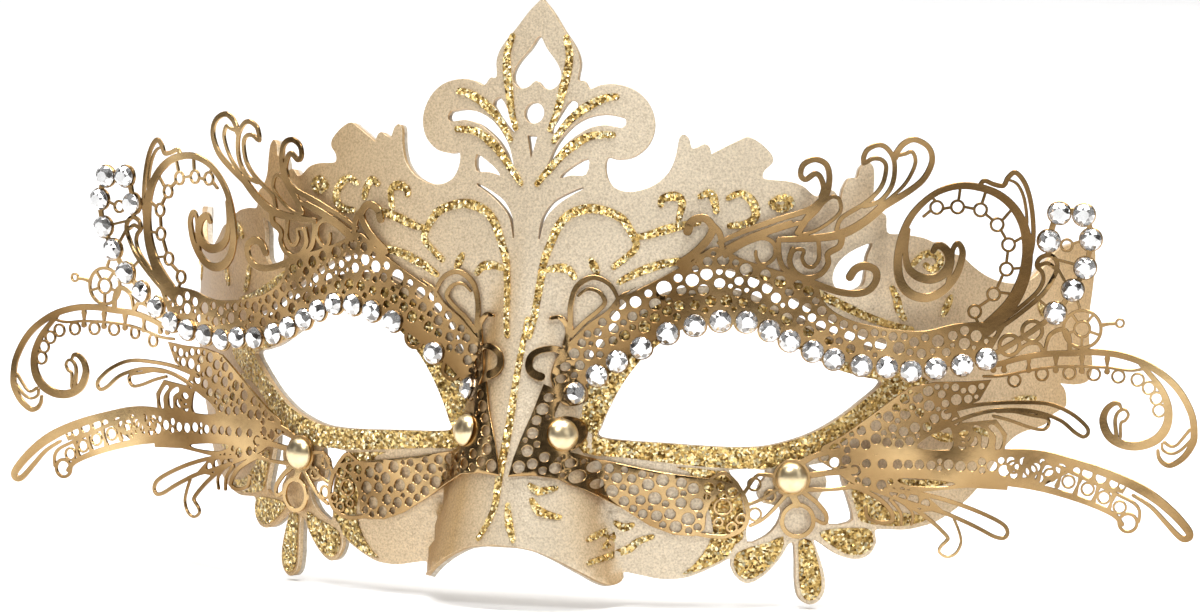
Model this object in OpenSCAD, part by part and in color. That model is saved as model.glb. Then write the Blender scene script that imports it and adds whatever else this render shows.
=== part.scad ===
// Venetian masquerade eye mask: a formed leatherette shell with a laser-cut crown,
// two bent metal filigree sheets riveted to it, and rows of glued rhinestones.
// +X is the wearer's left, -Y is the front, +Z is up, millimetres.
// The origin is on the nose bridge, level with the inner corners of the eyes.

/* [Shell] */
// Radius of the shell's wrap around the face
wrap_r = 89; // [86:0.5:92]
// Backward lean of the crown
crown_lean = 10; // [8:0.5:12]
// Thickness of the leatherette cover
cover_t = 0.9; // [0.7:0.1:1.2]
// Thickness of the stiff backing behind the cover
backing_t = 0.9; // [0.7:0.1:1.2]
// Thickness of the glitter coat on the cover
glitter_t = 0.3; // [0.2:0.05:0.4]

/* [Filigree] */
// Thickness of the metal sheet
metal_t = 0.5; // [0.4:0.05:0.7]
// Angle of the flat outer part of the sheet
plate_angle = 26; // [24:0.5:28]
// Angle of the flared tip of the sheet
flare_angle = 12; // [8:1:16]

/* [Stones and studs] */
// Radius of a rhinestone
stone_r = 1.95; // [1.7:0.05:2]
// Height of a rhinestone
stone_h = 1.5; // [1.2:0.1:2]
// Radius of a stud's domed cap
stud_r = 2.9; // [2.6:0.1:3.2]
// Height of a stud's domed cap
stud_h = 1.9; // [1.5:0.1:2.4]
// Radius of a stud's post
post_r = 0.8; // [0.6:0.1:1]
// Radius of the cord hole through a tie eyelet
eyelet_bore_r = 1.1; // [0.9:0.05:1.2]

/* [Hidden] */
$fn = 48;

bridge_y = 1.5;                     // front of the plain shell at the middle
wrap_y = bridge_y + wrap_r;         // middle of the wrap's circle
lean_z = 27.2;                      // height of the lean's pivot on the wrap's axis
nose_y = 6;                         // middle of the nose cone
nose_r0 = 12;                       // radius of the nose cone at the height of the eyes
nose_slope = 0.24;                  // growth of its radius for each millimetre down
nose_top = 32;
nose_low = -32;
shell_t = cover_t + backing_t;
metal_gap = 0.42;                   // room between the cover and the metal, for the glitter
side_s = 66.5;                      // arc length where the cut turns from front to side
side_x = wrap_r * sin(side_s / wrap_r * 180 / PI);
plate_u = 39.1;                     // developed distance where the metal leaves the wrap
flare_u = 92.4;                     // developed distance where its tip flares
far = 200;
rim = 0.02;                         // that hair's growth
wrap_fn = 48;                       // facets round the shell's wrap

// ---------- outline helpers ----------

function deg(s) = s / wrap_r * 180 / PI;
function wrap_front(p) = [wrap_r * sin(deg(p[0])), p[1]];
function wrap_side(p) = [wrap_y - wrap_r * cos(deg(p[0])), p[1]];
function spline_at(a, b, c, d, t) =
    0.5 * (2 * b + (c - a) * t + (2 * a - 5 * b + 4 * c - d) * t * t
        + (3 * b - a - 3 * c + d) * t * t * t);
// A smooth closed line through the points, with n steps between neighbours
function ring_curve(p, n) = let (m = len(p)) [
    for (i = [0 : m - 1], j = [0 : n - 1])
        spline_at(p[(i + m - 1) % m], p[i], p[(i + 1) % m], p[(i + 2) % m], j / n)
];
function normal_at(p, i) =
    let (d = p[min(i + 1, len(p) - 1)] - p[max(i - 1, 0)], l = max(norm(d), 0.001))
    [-d[1] / l, d[0] / l];
function mix(a, b, t) = a + (b - a) * t;
// Both edges of a stroke whose width goes from w0 through w1 in the middle to w2
function stroke_edge(q, w0, w1, w2) = let (m = len(q) - 1) concat(
    [for (i = [0 : m]) q[i] + normal_at(q, i) * stroke_w(i / m, w0, w1, w2) / 2],
    [for (i = [m : -1 : 0]) q[i] - normal_at(q, i) * stroke_w(i / m, w0, w1, w2) / 2]
);
function stroke_w(t, w0, w1, w2) = t < 0.5 ? mix(w0, w1, 2 * t) : mix(w1, w2, 2 * t - 1);
function mirrored(p) = [for (i = [len(p) - 1 : -1 : 0]) [-p[i][0], p[i][1]]];

module stroke(p, w0 = 0.8, w1 = 0.8, w2 = 0.8) polygon(stroke_edge(p, w0, w1, w2));
module dots(list, r) for (c = list) translate(c) circle(r, $fn = 8);
module rings(list, r, w) for (c = list) translate(c) difference() {
    circle(r, $fn = 16);
    circle(r - w, $fn = 12);
}

// ---------- the shell's cut shape, in arc length and height, right half ----------

crown_edge = [
    [0, 75.8], [2.2, 73.5], [4.4, 70.5], [6.8, 67.4], [7.8, 64.8], [7.6, 61.9],
    [8.8, 61.6], [9.9, 60.3], [11.8, 61], [14.5, 61.2], [18, 60.2], [20.6, 57.8],
    [21.8, 54.3], [21, 51], [18.6, 48.8], [15.8, 48.2], [13.8, 48.4],
    [13.7, 46], [14.8, 43.8], [17, 42.7], [19.6, 42.8], [22.6, 44], [24.8, 46.2],
    [25.8, 49], [26.2, 52], [27, 52.7], [27.9, 52], [28.5, 50.4],
    [29.6, 50.6], [30.6, 51.1], [31.5, 50.7], [32, 49.4]
];
side_edge = [
    [34.6, 50.8], [36.6, 51.8], [38, 52.4], [39.4, 52], [41.2, 50.8], [42.7, 49.2],
    [42.8, 47.9], [41.5, 46.6], [41.4, 45.3], [43.2, 45], [46.2, 44.7], [48.6, 43.9],
    [50.4, 42.5], [51.6, 42.2], [53, 43.2], [54.5, 42.9], [55.5, 41.2],
    [56, 43.6], [57, 45.3], [58.4, 45.3], [59, 47.2], [60.3, 48], [61.4, 47], [61.7, 44.8],
    [61.8, 41.8], [63, 39.6], [64.4, 38.6], [64.6, 36.6], [65.2, 35.5],
    [68, 35.3], [72, 34.6], [74.4, 33.7], [76, 33.8], [77.6, 32.8], [78.2, 31.8],
    [80.5, 31], [83.5, 28.8], [87, 27], [91, 26], [94.5, 25.8], [97.5, 26.8],
    [100.5, 29], [103, 31], [106, 31.8], [110, 32.2], [113.5, 32], [115.3, 30.4],
    [115.4, 27], [114.8, 23], [113.9, 18.6], [114.2, 14], [115.3, 10.8],
    [115, 8.2], [113.4, 7], [109.5, 6.8], [105.2, 7.4]
];
low_edge = [
    [106.6, 6.2], [107.2, 4.6], [107, 3.1], [105, 2.4], [103, 1.7], [101.4, 0.3],
    [98.5, -0.3], [95.5, -0.8], [93, -1.7], [90.5, -3.6], [88, -6.5], [85.5, -9.5],
    [82.3, -12.2], [78.5, -14.5], [75, -16], [70, -16.9], [65.5, -16.7], [63.7, -16.9],
    [63.9, -19], [62.8, -20.9], [60.8, -21.8], [58.4, -21.6], [56, -20.6], [53.6, -19],
    [52.2, -18.4], [53.3, -21.4], [54.3, -25], [54.2, -27.6], [52.9, -29.3], [51.2, -29.6],
    [49.6, -28.3], [49, -25.6], [48.9, -22], [48.6, -19],
    [47.6, -19], [46.2, -21.3], [44, -23.8], [41.8, -25.4], [40, -25.8], [38.4, -24.8],
    [37.4, -22.9], [37.2, -21.5], [35, -22.6], [32, -24], [29, -25], [25, -25.2],
    [21.5, -24.6], [18.6, -24.2], [18.4, -25.4], [17.7, -26.2], [16.2, -25.4], [14, -23.8],
    [11, -21.9], [8.5, -20.6], [6, -19.6], [3, -19.1]
];
half_edge = concat(crown_edge, side_edge, low_edge);
full_edge = concat(half_edge, mirrored([for (i = [1 : len(half_edge) - 1]) half_edge[i]]));

eye_edge = [
    [13.8, -0.4], [18, -1], [25, -1.3], [32, -1.7], [38, -1.9], [43, -1.7], [48, -0.6],
    [52, 0.8], [56, 2.9], [60, 5.6], [64.4, 9.2], [61, 10.3], [57, 11.4], [53, 13.2],
    [48, 15.9], [43.5, 18.5], [39.5, 20.1], [35.5, 20.7], [31.5, 20.2], [27.5, 18.4],
    [23.5, 15.6], [20.3, 12.4], [17.6, 8.6], [15.4, 4.4], [14.2, 1.4]
];
brow_slot_line = [
    [12, 13.8], [14, 17.2], [16.8, 20.8], [20.5, 23.9], [25, 26.4], [30, 27.7], [35, 27.7],
    [40, 26.6], [45, 24.3], [50, 21.7], [55, 19.2], [60, 17], [66, 15.3]
];
cheek_window = [
    [36.8, -5.9], [43.4, -5.9], [42.2, -8.4], [41.9, -10.2], [43, -11.7], [46, -12.4],
    [46, -14.4], [44.6, -16.6], [42.6, -18], [40.2, -18.6], [40.1, -15.2], [39.8, -11.6],
    [38.5, -8]
];
flower_window = [
    [51, -5.1], [54.6, -4.5], [55.4, -3.1], [57.1, -2.8], [57, -6], [57.8, -9.2],
    [59.4, -13.8], [58.8, -15.3], [55, -15.6], [54.4, -13.4], [52.8, -11.2],
    [54.2, -9], [54.2, -7.2], [52.8, -6.2]
];
hook_window = [
    [54.8, 27.6], [55.4, 30], [57.2, 31.9], [59.6, 33.2], [62, 33.8], [61.2, 31.4],
    [61, 28.4], [60.4, 26.4], [58.2, 25.5], [55.8, 25.8]
];
heart_edge = [
    [0, 69.2], [1.6, 67], [3.6, 64.6], [4.5, 62.6], [4.2, 61], [2.9, 60], [1.4, 60.3],
    [0, 61.4], [-1.4, 60.3], [-2.9, 60], [-4.2, 61], [-4.5, 62.6], [-3.6, 64.6], [-1.6, 67]
];
crown_slot = [[6.4, 58.2], [7.9, 56.9], [4, 52.4], [3.4, 53.2], [4.2, 54.8]];
long_slot_line = [[3.2, 45.8], [4.6, 49.4], [6.8, 52.2], [9.6, 54.2], [12.8, 55], [15.8, 54.6]];
low_window = [[5.6, 44.7], [7, 46.3], [10.4, 48.2], [10.2, 45.4], [7.6, 45.2]];
eyelet_s = 108;
eyelet_z = 23.6;

module half_cuts() {
    polygon([for (p = ring_curve(eye_edge, 2)) wrap_front(p)]);
    cut_stroke(brow_slot_line, 0.9, 3.2, 0.9);
    polygon([for (p = cheek_window) wrap_front(p)]);
    polygon([for (p = flower_window) wrap_front(p)]);
    polygon([for (p = ring_curve(hook_window, 2)) wrap_front(p)]);
    polygon([for (p = crown_slot) wrap_front(p)]);
    cut_stroke(long_slot_line, 0.5, 1.9, 1.9);
    polygon([for (p = low_window) wrap_front(p)]);
}
module cut_stroke(line, w0, w1, w2)
    polygon([for (p = stroke_edge(line, w0, w1, w2)) wrap_front(p)]);

// The middle of the shell as it is seen from the front
module front_shape() difference() {
    polygon([for (p = full_edge) wrap_front(p)]);
    for (side = [0, 1]) mirror([side, 0]) half_cuts();
    polygon([for (p = ring_curve(heart_edge, 2)) wrap_front(p)]);
    translate([0, 55.8]) circle(1.85, $fn = 24);
    polygon([[-0.9, 51.8], [0.9, 51.8], [0, 47.8]]);
}

// ---------- curved walls ----------

// Everything behind the plain wrap and the nose cone, grown forward by g
module plain_solid(g) {
    translate([0, wrap_y, -60]) cylinder(r = wrap_r + g, h = 160, $fn = 80);
    nose_cone(g);
}
module nose_cone(g) translate([0, nose_y, nose_low]) cylinder(
    r1 = nose_r0 - nose_slope * nose_low + g,
    r2 = nose_r0 - nose_slope * nose_top + g,
    h = nose_top - nose_low);
// The same with the crown leaning back
module leaning_solid(g) {
    intersection() {
        translate([0, wrap_y, -60]) cylinder(r = wrap_r + g, h = 160, $fn = wrap_fn);
        translate([0, wrap_y, lean_z]) rotate([-crown_lean, 0, 0])
            cylinder(r = wrap_r + g, h = 240, center = true, $fn = wrap_fn);
    }
    nose_cone(g);
}
// Curved walls from depth g0 behind the surface to g1 in front of it
module plain_wall(g0, g1) difference() {
    plain_solid(g1);
    plain_solid(g0);
}
module leaning_wall(g0, g1) difference() {
    leaning_solid(g1);
    leaning_solid(g0);
}
module push_back() translate([0, wrap_y, 0]) rotate([90, 0, 0]) linear_extrude(far) children();
module push_side() rotate([90, 0, 90]) linear_extrude(far) children();
side_loop = [for (p = half_edge) if (p[0] >= 64.3) wrap_side(p)];
// A formed sheet is a smooth free shape, so it is kept as one mesh by a resize that changes nothing
module shell_layer(g0, g1) resize([0, 0, 0]) {
    difference() {
        intersection() {
            leaning_wall(g0, g1);
            push_back() intersection() {
                front_shape();
                square([2 * side_x, far], center = true);
            }
        }
        post_holes();
    }
    for (side = [0, 1]) mirror([side, 0, 0]) difference() {
        intersection() {
            leaning_wall(g0, g1);
            translate([side_x - 0.01, 0, 0]) push_side() polygon(side_loop);
        }
        at_shell(eyelet_s, eyelet_z) cylinder(r = eyelet_out_r + hole_play, h = 20, center = true);
    }
}
module leatherette_cover() color("burlywood") shell_layer(-cover_t, 0);
module backing_shell() color("gainsboro") shell_layer(-shell_t, -cover_t);

// ---------- glitter coat: eye border, cheek band and petals ----------

border_edge = [
    [10.4, 2], [11.6, -3.2], [18, -3.9], [24, -4.5], [30, -5.1], [36, -5.5], [43, -5.6],
    [48, -4.9], [54, -2.8], [58, -0.4], [62, 2.6], [67, 5], [73, 8], [73, 9.8], [67.6, 11.2],
    [61, 14], [55, 16.8], [50, 19.2], [45, 21.8], [40, 24.1], [35, 25.2], [30, 25],
    [25, 23.6], [20.8, 21], [17, 17.4], [13.8, 13], [11.6, 7.6]
];
cheek_band = [
    [27.5, -5.4], [29.6, -6.2], [31.2, -8.5], [33, -12], [34, -15.5], [33.9, -17.6],
    [32.4, -20.7], [30.2, -23.2], [28.8, -24.3], [31.6, -23.7], [34.8, -22.2], [37, -20.9],
    [38, -19], [39.4, -17.9], [39.5, -15], [39.2, -11.6], [38, -8.2], [36, -6.2]
];
petal_inner = [
    [46.6, -17.6], [44, -18.6], [41, -19.4], [38.3, -20.6], [37.9, -22.8], [38.8, -24.5],
    [40.3, -25.1], [42, -24.6], [44.2, -22.9], [46.2, -20.4]
];
petal_middle = [
    [49.4, -18.4], [51.6, -18.4], [52.7, -21.4], [53.6, -25], [53.5, -27.4], [52.4, -28.7],
    [51.2, -28.9], [50.1, -27.9], [49.6, -25.4], [49.5, -22]
];
petal_outer = [
    [53.2, -17], [55.4, -16.4], [59, -16.3], [62.6, -16.6], [63.2, -18.8], [62.4, -20.3],
    [60.7, -21.1], [58.4, -20.9], [56.2, -19.8], [54.2, -18.4]
];
outer_band = [
    [58.6, -8], [61, -8.4], [64.4, -11.4], [67, -13.4], [71, -14.2], [74.5, -15],
    [70, -16.2], [65, -16], [61, -15.2], [60, -13.4]
];
module glitter_shape() {
    difference() {
        polygon([for (p = ring_curve(border_edge, 2)) wrap_front(p)]);
        polygon([for (p = ring_curve(eye_edge, 2)) wrap_front(p)]);
    }
    for (loop = [petal_inner, petal_middle, petal_outer])
        polygon([for (p = ring_curve(loop, 2)) wrap_front(p)]);
    polygon([for (p = cheek_band) wrap_front(p)]);
    polygon([for (p = outer_band) wrap_front(p)]);
}
module glitter_coat() color("goldenrod")
    for (side = [0, 1]) mirror([side, 0, 0]) intersection() {
        difference() {
            plain_wall(0, glitter_t);
            post_holes();
        }
        push_back() intersection() {
            glitter_shape();
            translate([0, -far / 2]) square([side_x, far]);
        }
    }

// ---------- the filigree's cut shape, in developed distance and height ----------

band_low = [
    [9.9, 7.2], [13.5, 10.4], [17, 13], [21.1, 15.5], [25.5, 18.1], [30, 19.6],
    [34.2, 20.4], [38.4, 20.3], [42.4, 18.8], [46.1, 17], [50.1, 15.2], [53.9, 13.8],
    [58.7, 12.7], [63.2, 12.4], [67.6, 11.7], [72, 12.2], [76.7, 12.8]
];
strand = [
    [81.1, 13.9], [85.2, 16.2], [89.1, 18.7], [93.1, 22], [96.1, 26.1], [98.2, 30.1],
    [99.1, 35.1], [97.8, 39.4], [93.5, 39.6], [91.7, 34.7]
];
band_high = [
    [84.5, 20], [80, 20.4], [75, 20], [70, 18.8], [65, 19], [60, 19.8], [56.5, 20.8],
    [53.5, 22.4], [51.5, 24.6], [50.8, 26.6], [47.5, 28.2], [43.6, 29.4], [40.2, 30.4],
    [37, 31.6], [33.4, 33.4], [30, 31.6], [25, 28.6], [20, 26], [17.2, 24.6], [15, 21.8],
    [12, 19.6], [10, 17.6], [8, 15.5], [6.8, 13], [6.4, 10], [7.6, 7.2]
];
nose_strip = [
    [5.4, 9], [4, 4], [2.6, 0], [1.4, -4], [0.8, -7], [5, -6.7], [9, -7.3], [13, -9.5],
    [18, -12.7], [23, -15.8], [27, -17.3], [30.5, -17.5], [32.2, -16.3], [32.4, -13.5],
    [33.6, -10.6], [31.4, -9], [27, -7.6], [22, -6.6], [17, -5.4], [13, -4], [10, -2.6],
    [7.4, 0], [7.6, 4], [8.6, 7.4]
];
fan_body = [
    [54, -5.6], [53.4, -3.4], [55.5, -0.4], [60, 3], [64, 6], [67.5, 8.6], [72, 9.6],
    [78, 9.8], [82, 10.2], [80, 6.6], [76, 4.6], [77, 2.6], [83, 3.2], [85, 0.6],
    [84.6, -2.4], [90, -2.8], [97, -4.2], [96, -6.2], [91.5, -8.6], [85.4, -7.6],
    [85.2, -9.3], [78, -8.9], [70, -9.6], [74, -13], [69, -13.2], [64.6, -10.8],
    [59.6, -9], [56.6, -7.6]
];
big_holes = [
    [12.2, 15.6], [17.6, 18.8], [20.4, 23], [25.4, 26.2], [25.6, 21.9], [30.4, 23.6],
    [35.4, 23.6], [39.4, 26.8], [40.6, 22.8], [44.6, 23.4], [49.8, 20.8], [48, 18.4],
    [13.2, -6.8], [21, -9.8], [25.2, -11.8], [29.8, -14.6], [59.4, 16.2], [66.2, 15.4],
    [70.6, 15.8], [78, 17.6], [67.6, 2.8], [72, 5.4], [75.6, 7.6],
    [58, -1.2], [61, 0.6], [65, -4.9], [69, -4.8], [73, -4.9], [77, -5], [81, -5], [6, -4]
];
fan_slits = [
    [[69, -1.8], [71, 0.2], [74.4, 1.8], [75.3, 0.4], [75.3, -1.6], [74, -2.2]],
    [[65.6, -7.6], [68, -7.2], [75.4, -8], [74.4, -8.6], [68.4, -8.6]]
];

module brow_strokes() {
    stroke([[8.9, 16], [8.6, 20], [8.8, 23.4], [10, 26.2], [12.6, 27.5], [15.3, 26.5],
        [16.8, 24.4], [17, 22.2]], 1, 1.1, 0.6);
    stroke([[7.2, 14], [5, 14.6], [3.4, 13.8], [2.8, 12.2], [3.8, 10.8]], 0.9, 1.2, 1.4);
    stroke([[29, 31], [31.4, 33.6], [32.5, 36.2], [31.6, 38], [29.8, 38], [28.8, 36]],
        1.6, 1.4, 1.6);
    stroke([[33.6, 32.4], [37, 35.6], [41, 37.4], [45, 38.7], [49.4, 40.2]], 1, 0.9, 1);
    stroke([[34, 31.8], [38, 33.8], [42, 35.4], [46, 36.6], [49, 38.2]], 1, 0.8, 1);
}
module scroll_strokes() {
    stroke([[47.2, 36.2], [49.6, 39.2], [51.6, 42], [52.5, 45], [52.2, 47.6], [50.4, 48.9],
        [48.4, 48], [47.6, 46.2]], 1.4, 1, 1);
    stroke([[44, 35.6], [49.4, 35.6], [55, 36], [59, 38.1], [62.5, 40.7], [66.5, 43.2],
        [69.3, 45.6], [70.7, 48.6], [70, 51.2], [67.6, 52.4], [65.4, 51.5], [64.4, 49.6]],
        1.1, 1.3, 1);
    stroke([[54.4, 36], [56.4, 39.4], [59.4, 40.8], [61.8, 41.7], [63.6, 44.2], [64.1, 47.4],
        [63.3, 50.2], [61.3, 51.4], [59.4, 50.7], [58.6, 48.6]], 0.9, 0.9, 1);
    stroke([[50.2, 35.3], [52.5, 32.6], [52.6, 30.5], [51.3, 28.6], [49, 27.9], [46.8, 28.9],
        [45.8, 31], [46.2, 33.2], [47.2, 35.3]], 1, 1, 1);
    stroke([[43.8, 36], [44, 32], [45, 29.8], [46.4, 28.2]], 0.8, 1, 1);
    stroke([[49.8, 27], [54.2, 25.6], [57.8, 25.3], [60.2, 26.2], [61.2, 28], [60.6, 29.7],
        [58.9, 30.1], [57.4, 29.3], [56.6, 28]], 1.2, 1.3, 1.6);
}
module temple_strokes() {
    stroke([[80, 19], [84, 22.2], [87, 26.8], [88, 32], [87.6, 36.5], [85.8, 40.2], [83, 42.6],
        [79.5, 44], [75.5, 44.2], [71.6, 43], [68, 40.2], [66, 36.6], [65, 32.4], [65.4, 28.2],
        [67.2, 25.6], [70, 24.8], [73, 26], [75.3, 28.6], [76.2, 31.6], [75.6, 33.8]],
        3, 1.2, 0.8);
    stroke([[75, 33.2], [74.2, 30.4], [72.4, 28.4], [69.8, 28.2], [67.6, 29.6], [66.7, 32.4],
        [66.8, 36]], 1.2, 1.4, 0.9);
    stroke([[87.8, 31], [88.9, 35], [88.9, 39], [87.9, 43.4], [86, 46.2], [83.8, 45.4],
        [81.6, 44.9], [79.6, 44.4]], 1, 0.9, 1);
    stroke([[84.6, 21.2], [88, 22.8], [91, 25.4], [93, 29], [92.6, 31.8], [90.4, 31.4],
        [90.7, 28], [88, 24.6], [85.6, 22.6]], 0.9, 0.9, 0.9);
    // the rail of beads inside the curl
    stroke([[70.6, 42.8], [71.7, 40.8], [75.4, 40.6], [79.6, 40.1], [82.6, 37.6], [84.6, 34],
        [84.3, 29.8], [82.2, 25.4], [79, 22], [79, 19]], 0.8, 1, 0.8);
    stroke([[78.6, 40.2], [80.6, 43.6]]);
    stroke([[84, 33.6], [87.6, 35.4]]);
    rings([[97.9, 19.3]], 3.6, 0.8);
    stroke([[94.9, 17.5], [100.9, 21.1]]);
    stroke([[101, 20], [104.6, 20.6]], 0.8, 0.8, 1.4);
}
module wing_strokes() {
    stroke([[80, 12.4], [86, 13.4], [91, 14.3], [96, 14.9], [100.5, 15.1], [105, 14.6],
        [110, 13], [114.5, 9.6], [117.3, 5], [117.9, 1], [117.2, -1.4], [115.8, -3.2],
        [114, -4.1], [112, -3]], 1, 1.3, 0.7);
    stroke([[108.3, 13.6], [110.8, 10.8], [112.4, 8.2], [113.2, 5.4], [112.8, 2.4],
        [111.2, 0.2], [108.4, -1], [105.4, -0.7], [103, 1], [102, 3.4], [102.6, 5.4],
        [104.4, 6.1]], 0.8, 1.7, 0.7);
    stroke([[80, 11], [85, 10.6], [91, 11.6], [98, 12], [104.4, 11.6], [108, 10.8],
        [111.2, 8.4], [112, 5]], 0.9, 1.1, 0.7);
    for (u = [86, 91, 96, 101]) translate([u, 13]) square([0.9, 2.4], center = true);
    stroke([[72, 1.4], [77, 3.6], [82, 4.9], [87, 5], [91, 4.4], [94.6, 3], [97, 0.9],
        [98.8, 0.4], [99.2, 1.9], [96.4, 4.3], [92, 6], [86, 6.4], [80, 6], [74, 4.6]],
        1, 0.8, 1);
    stroke([[84, -2.4], [92, -3.1], [99, -4.9], [106, -7.5], [111, -10.1], [114.7, -13],
        [117.2, -15.8], [116.4, -17.2], [114.4, -15.6], [111, -12.2]], 1.4, 1.6, 0.7);
    stroke([[84, -8], [90, -8.8], [95, -10], [100, -11.6], [104, -13.4], [107.4, -15.2]],
        1.2, 1.1, 1.6);
    stroke([[93.8, -4.4], [97.4, -6.4], [101, -8.2], [105, -10.2], [107.8, -12],
        [107.4, -15]], 0.8, 0.9, 0.8);
    for (c = [[95.4, -7.6], [99.6, -9.4], [103.4, -11.4]]) translate(c) rotate(65)
        square([4.4, 0.8], center = true);
    stroke([[64, -9.4], [70, -10.1], [76, -11.7], [81, -13.5], [84.7, -15.5], [85, -17.5],
        [80.6, -16.3], [76, -14.2], [70, -12.4], [65, -10.4]], 1, 0.8, 1);
    stroke([[68, -12], [72.4, -15], [74.2, -18.4], [74.2, -21], [76.4, -20.2], [76.9, -16.6],
        [75.8, -14]], 1, 0.7, 0.7);
    stroke([[58.6, -7.8], [62.4, -10.4], [64.8, -13.2], [63.6, -15.2], [60.6, -14]],
        0.8, 0.8, 0.7);
}
module cheek_strokes() {
    stroke([[30.6, -16.8], [33.4, -17.6], [36.2, -17.4], [38.4, -15.9], [39.2, -13.4],
        [38.5, -10.4], [37, -8], [35.2, -6.4], [32, -9]], 0.8, 0.9, 0.8);
    stroke([[38.6, -10], [40.6, -7.4], [44.4, -6.6]], 0.8, 0.8, 0.9);
    stroke([[38.8, -14], [41.4, -12.6], [45, -9.4]], 0.8, 0.8, 0.9);
    rings([[48, -14.4]], 3.3, 0.9);
    stroke([[47.2, -10], [47.8, -12]], 1.4, 1.4, 1.4);
    stroke([[49.4, -6.6], [53, -6.3], [57, -5.6]], 1.2, 1, 1.6);
    stroke([[49, -9.2], [53, -9.4], [57.6, -8.6]], 0.8, 0.8, 1);
    stroke([[48, -4.8], [51, -3.4], [55, -2.6]], 1.4, 1, 1.4);
}
module settings_shape() {
    stroke(strand, 1, 1, 1);
    for (c = concat(band_low, strand)) translate(c) circle(2.15, $fn = 8);
}
module filigree_solid_parts() {
    difference() {
        union() {
            polygon(concat(band_low, [strand[0]], band_high));
            polygon(nose_strip);
            polygon(fan_body);
        }
        dots(big_holes, 1.15);
        for (slit = fan_slits) polygon(slit);
    }
    translate([nose_stud_u, nose_stud_z]) circle(3.2, $fn = 20);
    translate([cheek_stud_u, cheek_stud_z]) circle(3.6, $fn = 20);
}
module filigree_shape() {
    filigree_solid_parts();
    settings_shape();
    brow_strokes();
    scroll_strokes();
    temple_strokes();
    wing_strokes();
    cheek_strokes();
}
// A hair's growth melts all the overlapping strokes into one outline
module shape_between(u0, u1) intersection() {
    offset(delta = rim) filigree_shape();
    translate([u0, -far / 2]) square([u1 - u0, far]);
}
// A long cut outline on curved and folded sheet is kept as one mesh by a resize that changes nothing
module filigree() resize([0, 0, 0]) {
    difference() {
        intersection() {
            plain_wall(metal_gap, metal_gap + metal_t);
            push_back() shape_between(0, plate_u - 1.8);
        }
        at_nose_stud() cylinder(r = post_r + hole_play, h = 12, center = true);
    }
    difference() {
        at_plate(0) linear_extrude(metal_t) translate([-plate_u, 0])
            shape_between(plate_u - 2.1, flare_u + 0.25);
        at_cheek_stud() cylinder(r = post_r + hole_play, h = 16, center = true);
    }
    at_flare(fold_shift) linear_extrude(metal_t - fold_shift)
        translate([-flare_u, fold_shift]) shape_between(flare_u - 0.25, 125);
}
module filigree_left() color("peru") filigree();
module filigree_right() color("peru") mirror([1, 0, 0]) filigree();

// ---------- places on the shell and on the metal ----------

nose_stud_u = 9;
nose_stud_z = 0.2;
cheek_stud_u = 46.8;
cheek_stud_z = -7.2;
eyelet_out_r = 1.55;
fold_shift = 0.012;                 // moves the folded tip a hair, so no two edges share a line
hole_play = 0.05;                   // play round the posts and the eyelets
plate_x = plate_u;
plate_y = wrap_y - sqrt(pow(wrap_r + metal_gap + metal_t, 2) - plate_u * plate_u);
flare_x = plate_x + (flare_u - plate_u) * cos(plate_angle);
flare_y = plate_y + (flare_u - plate_u) * sin(plate_angle);
nose_cone_r = nose_r0 - nose_slope * nose_stud_z;
nose_stud_angle = asin(nose_stud_u / nose_cone_r);

// Local +Z points out of the front of the shell at arc length s
module at_shell(s, z) translate([wrap_r * sin(deg(s)), wrap_y - wrap_r * cos(deg(s)), z])
    rotate([0, 0, deg(s)]) rotate([90, 0, 0]) children();
module at_cheek_stud() at_metal([cheek_stud_u, cheek_stud_z]) children();
module at_nose_stud()
    translate([nose_stud_u, nose_y - nose_cone_r * cos(nose_stud_angle), nose_stud_z])
    rotate([0, 0, nose_stud_angle]) rotate([90 - atan(nose_slope), 0, 0]) children();
// Local X runs outward along the plate, Y is up and +Z is its front; d is the distance along it
module at_plate(d) translate([plate_x + d * cos(plate_angle), plate_y + d * sin(plate_angle), 0])
    rotate([0, 0, plate_angle]) rotate([90, 0, 0]) translate([0, 0, -metal_t]) children();
module at_flare(d) translate([flare_x + d * cos(flare_angle), flare_y + d * sin(flare_angle), 0])
    rotate([0, 0, flare_angle]) rotate([90, 0, 0]) translate([0, 0, -metal_t]) children();
module at_metal(p) {
    u = p[0];
    r = wrap_r + metal_gap + metal_t;
    if (u < plate_u)
        translate([u, wrap_y - sqrt(r * r - u * u), p[1]])
            rotate([0, 0, asin(u / r)]) rotate([90, 0, 0]) children();
    else if (abs(u - flare_u) < stone_r)
        // A stone across the fold stands on both sheets at the mean of their angles
        at_plate(u - plate_u) translate([0, p[1], metal_t])
            rotate([0, (plate_angle - flare_angle) / 2, 0])
            translate([0, 0, (stone_r + 1) * sin((plate_angle - flare_angle) / 2)]) children();
    else if (u < flare_u)
        at_plate(u - plate_u) translate([0, p[1], metal_t]) children();
    else
        at_flare(u - flare_u) translate([0, p[1], metal_t]) children();
}
module post_holes() for (side = [0, 1]) mirror([side, 0, 0]) {
    at_nose_stud() cylinder(r = post_r + hole_play, h = 12, center = true);
    at_cheek_stud() cylinder(r = post_r + hole_play, h = 16, center = true);
}

// ---------- rhinestones, studs and eyelets ----------

module rhinestone() {
    cylinder(r = stone_r, h = stone_h * 0.3, $fn = 24);
    translate([0, 0, stone_h * 0.3]) cylinder(r1 = stone_r, r2 = stone_r * 0.6,
        h = stone_h * 0.7, $fn = 24);
}
module stones(list) color("aliceblue") for (p = list) at_metal(p) rhinestone();
// The right side has lost the second and fourth stones of its brow row
module brow_rhinestones_left() stones(band_low);
module brow_rhinestones_right() mirror([1, 0, 0])
    stones([for (i = [0 : len(band_low) - 1]) if (i != 1 && i != 3) band_low[i]]);
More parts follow.
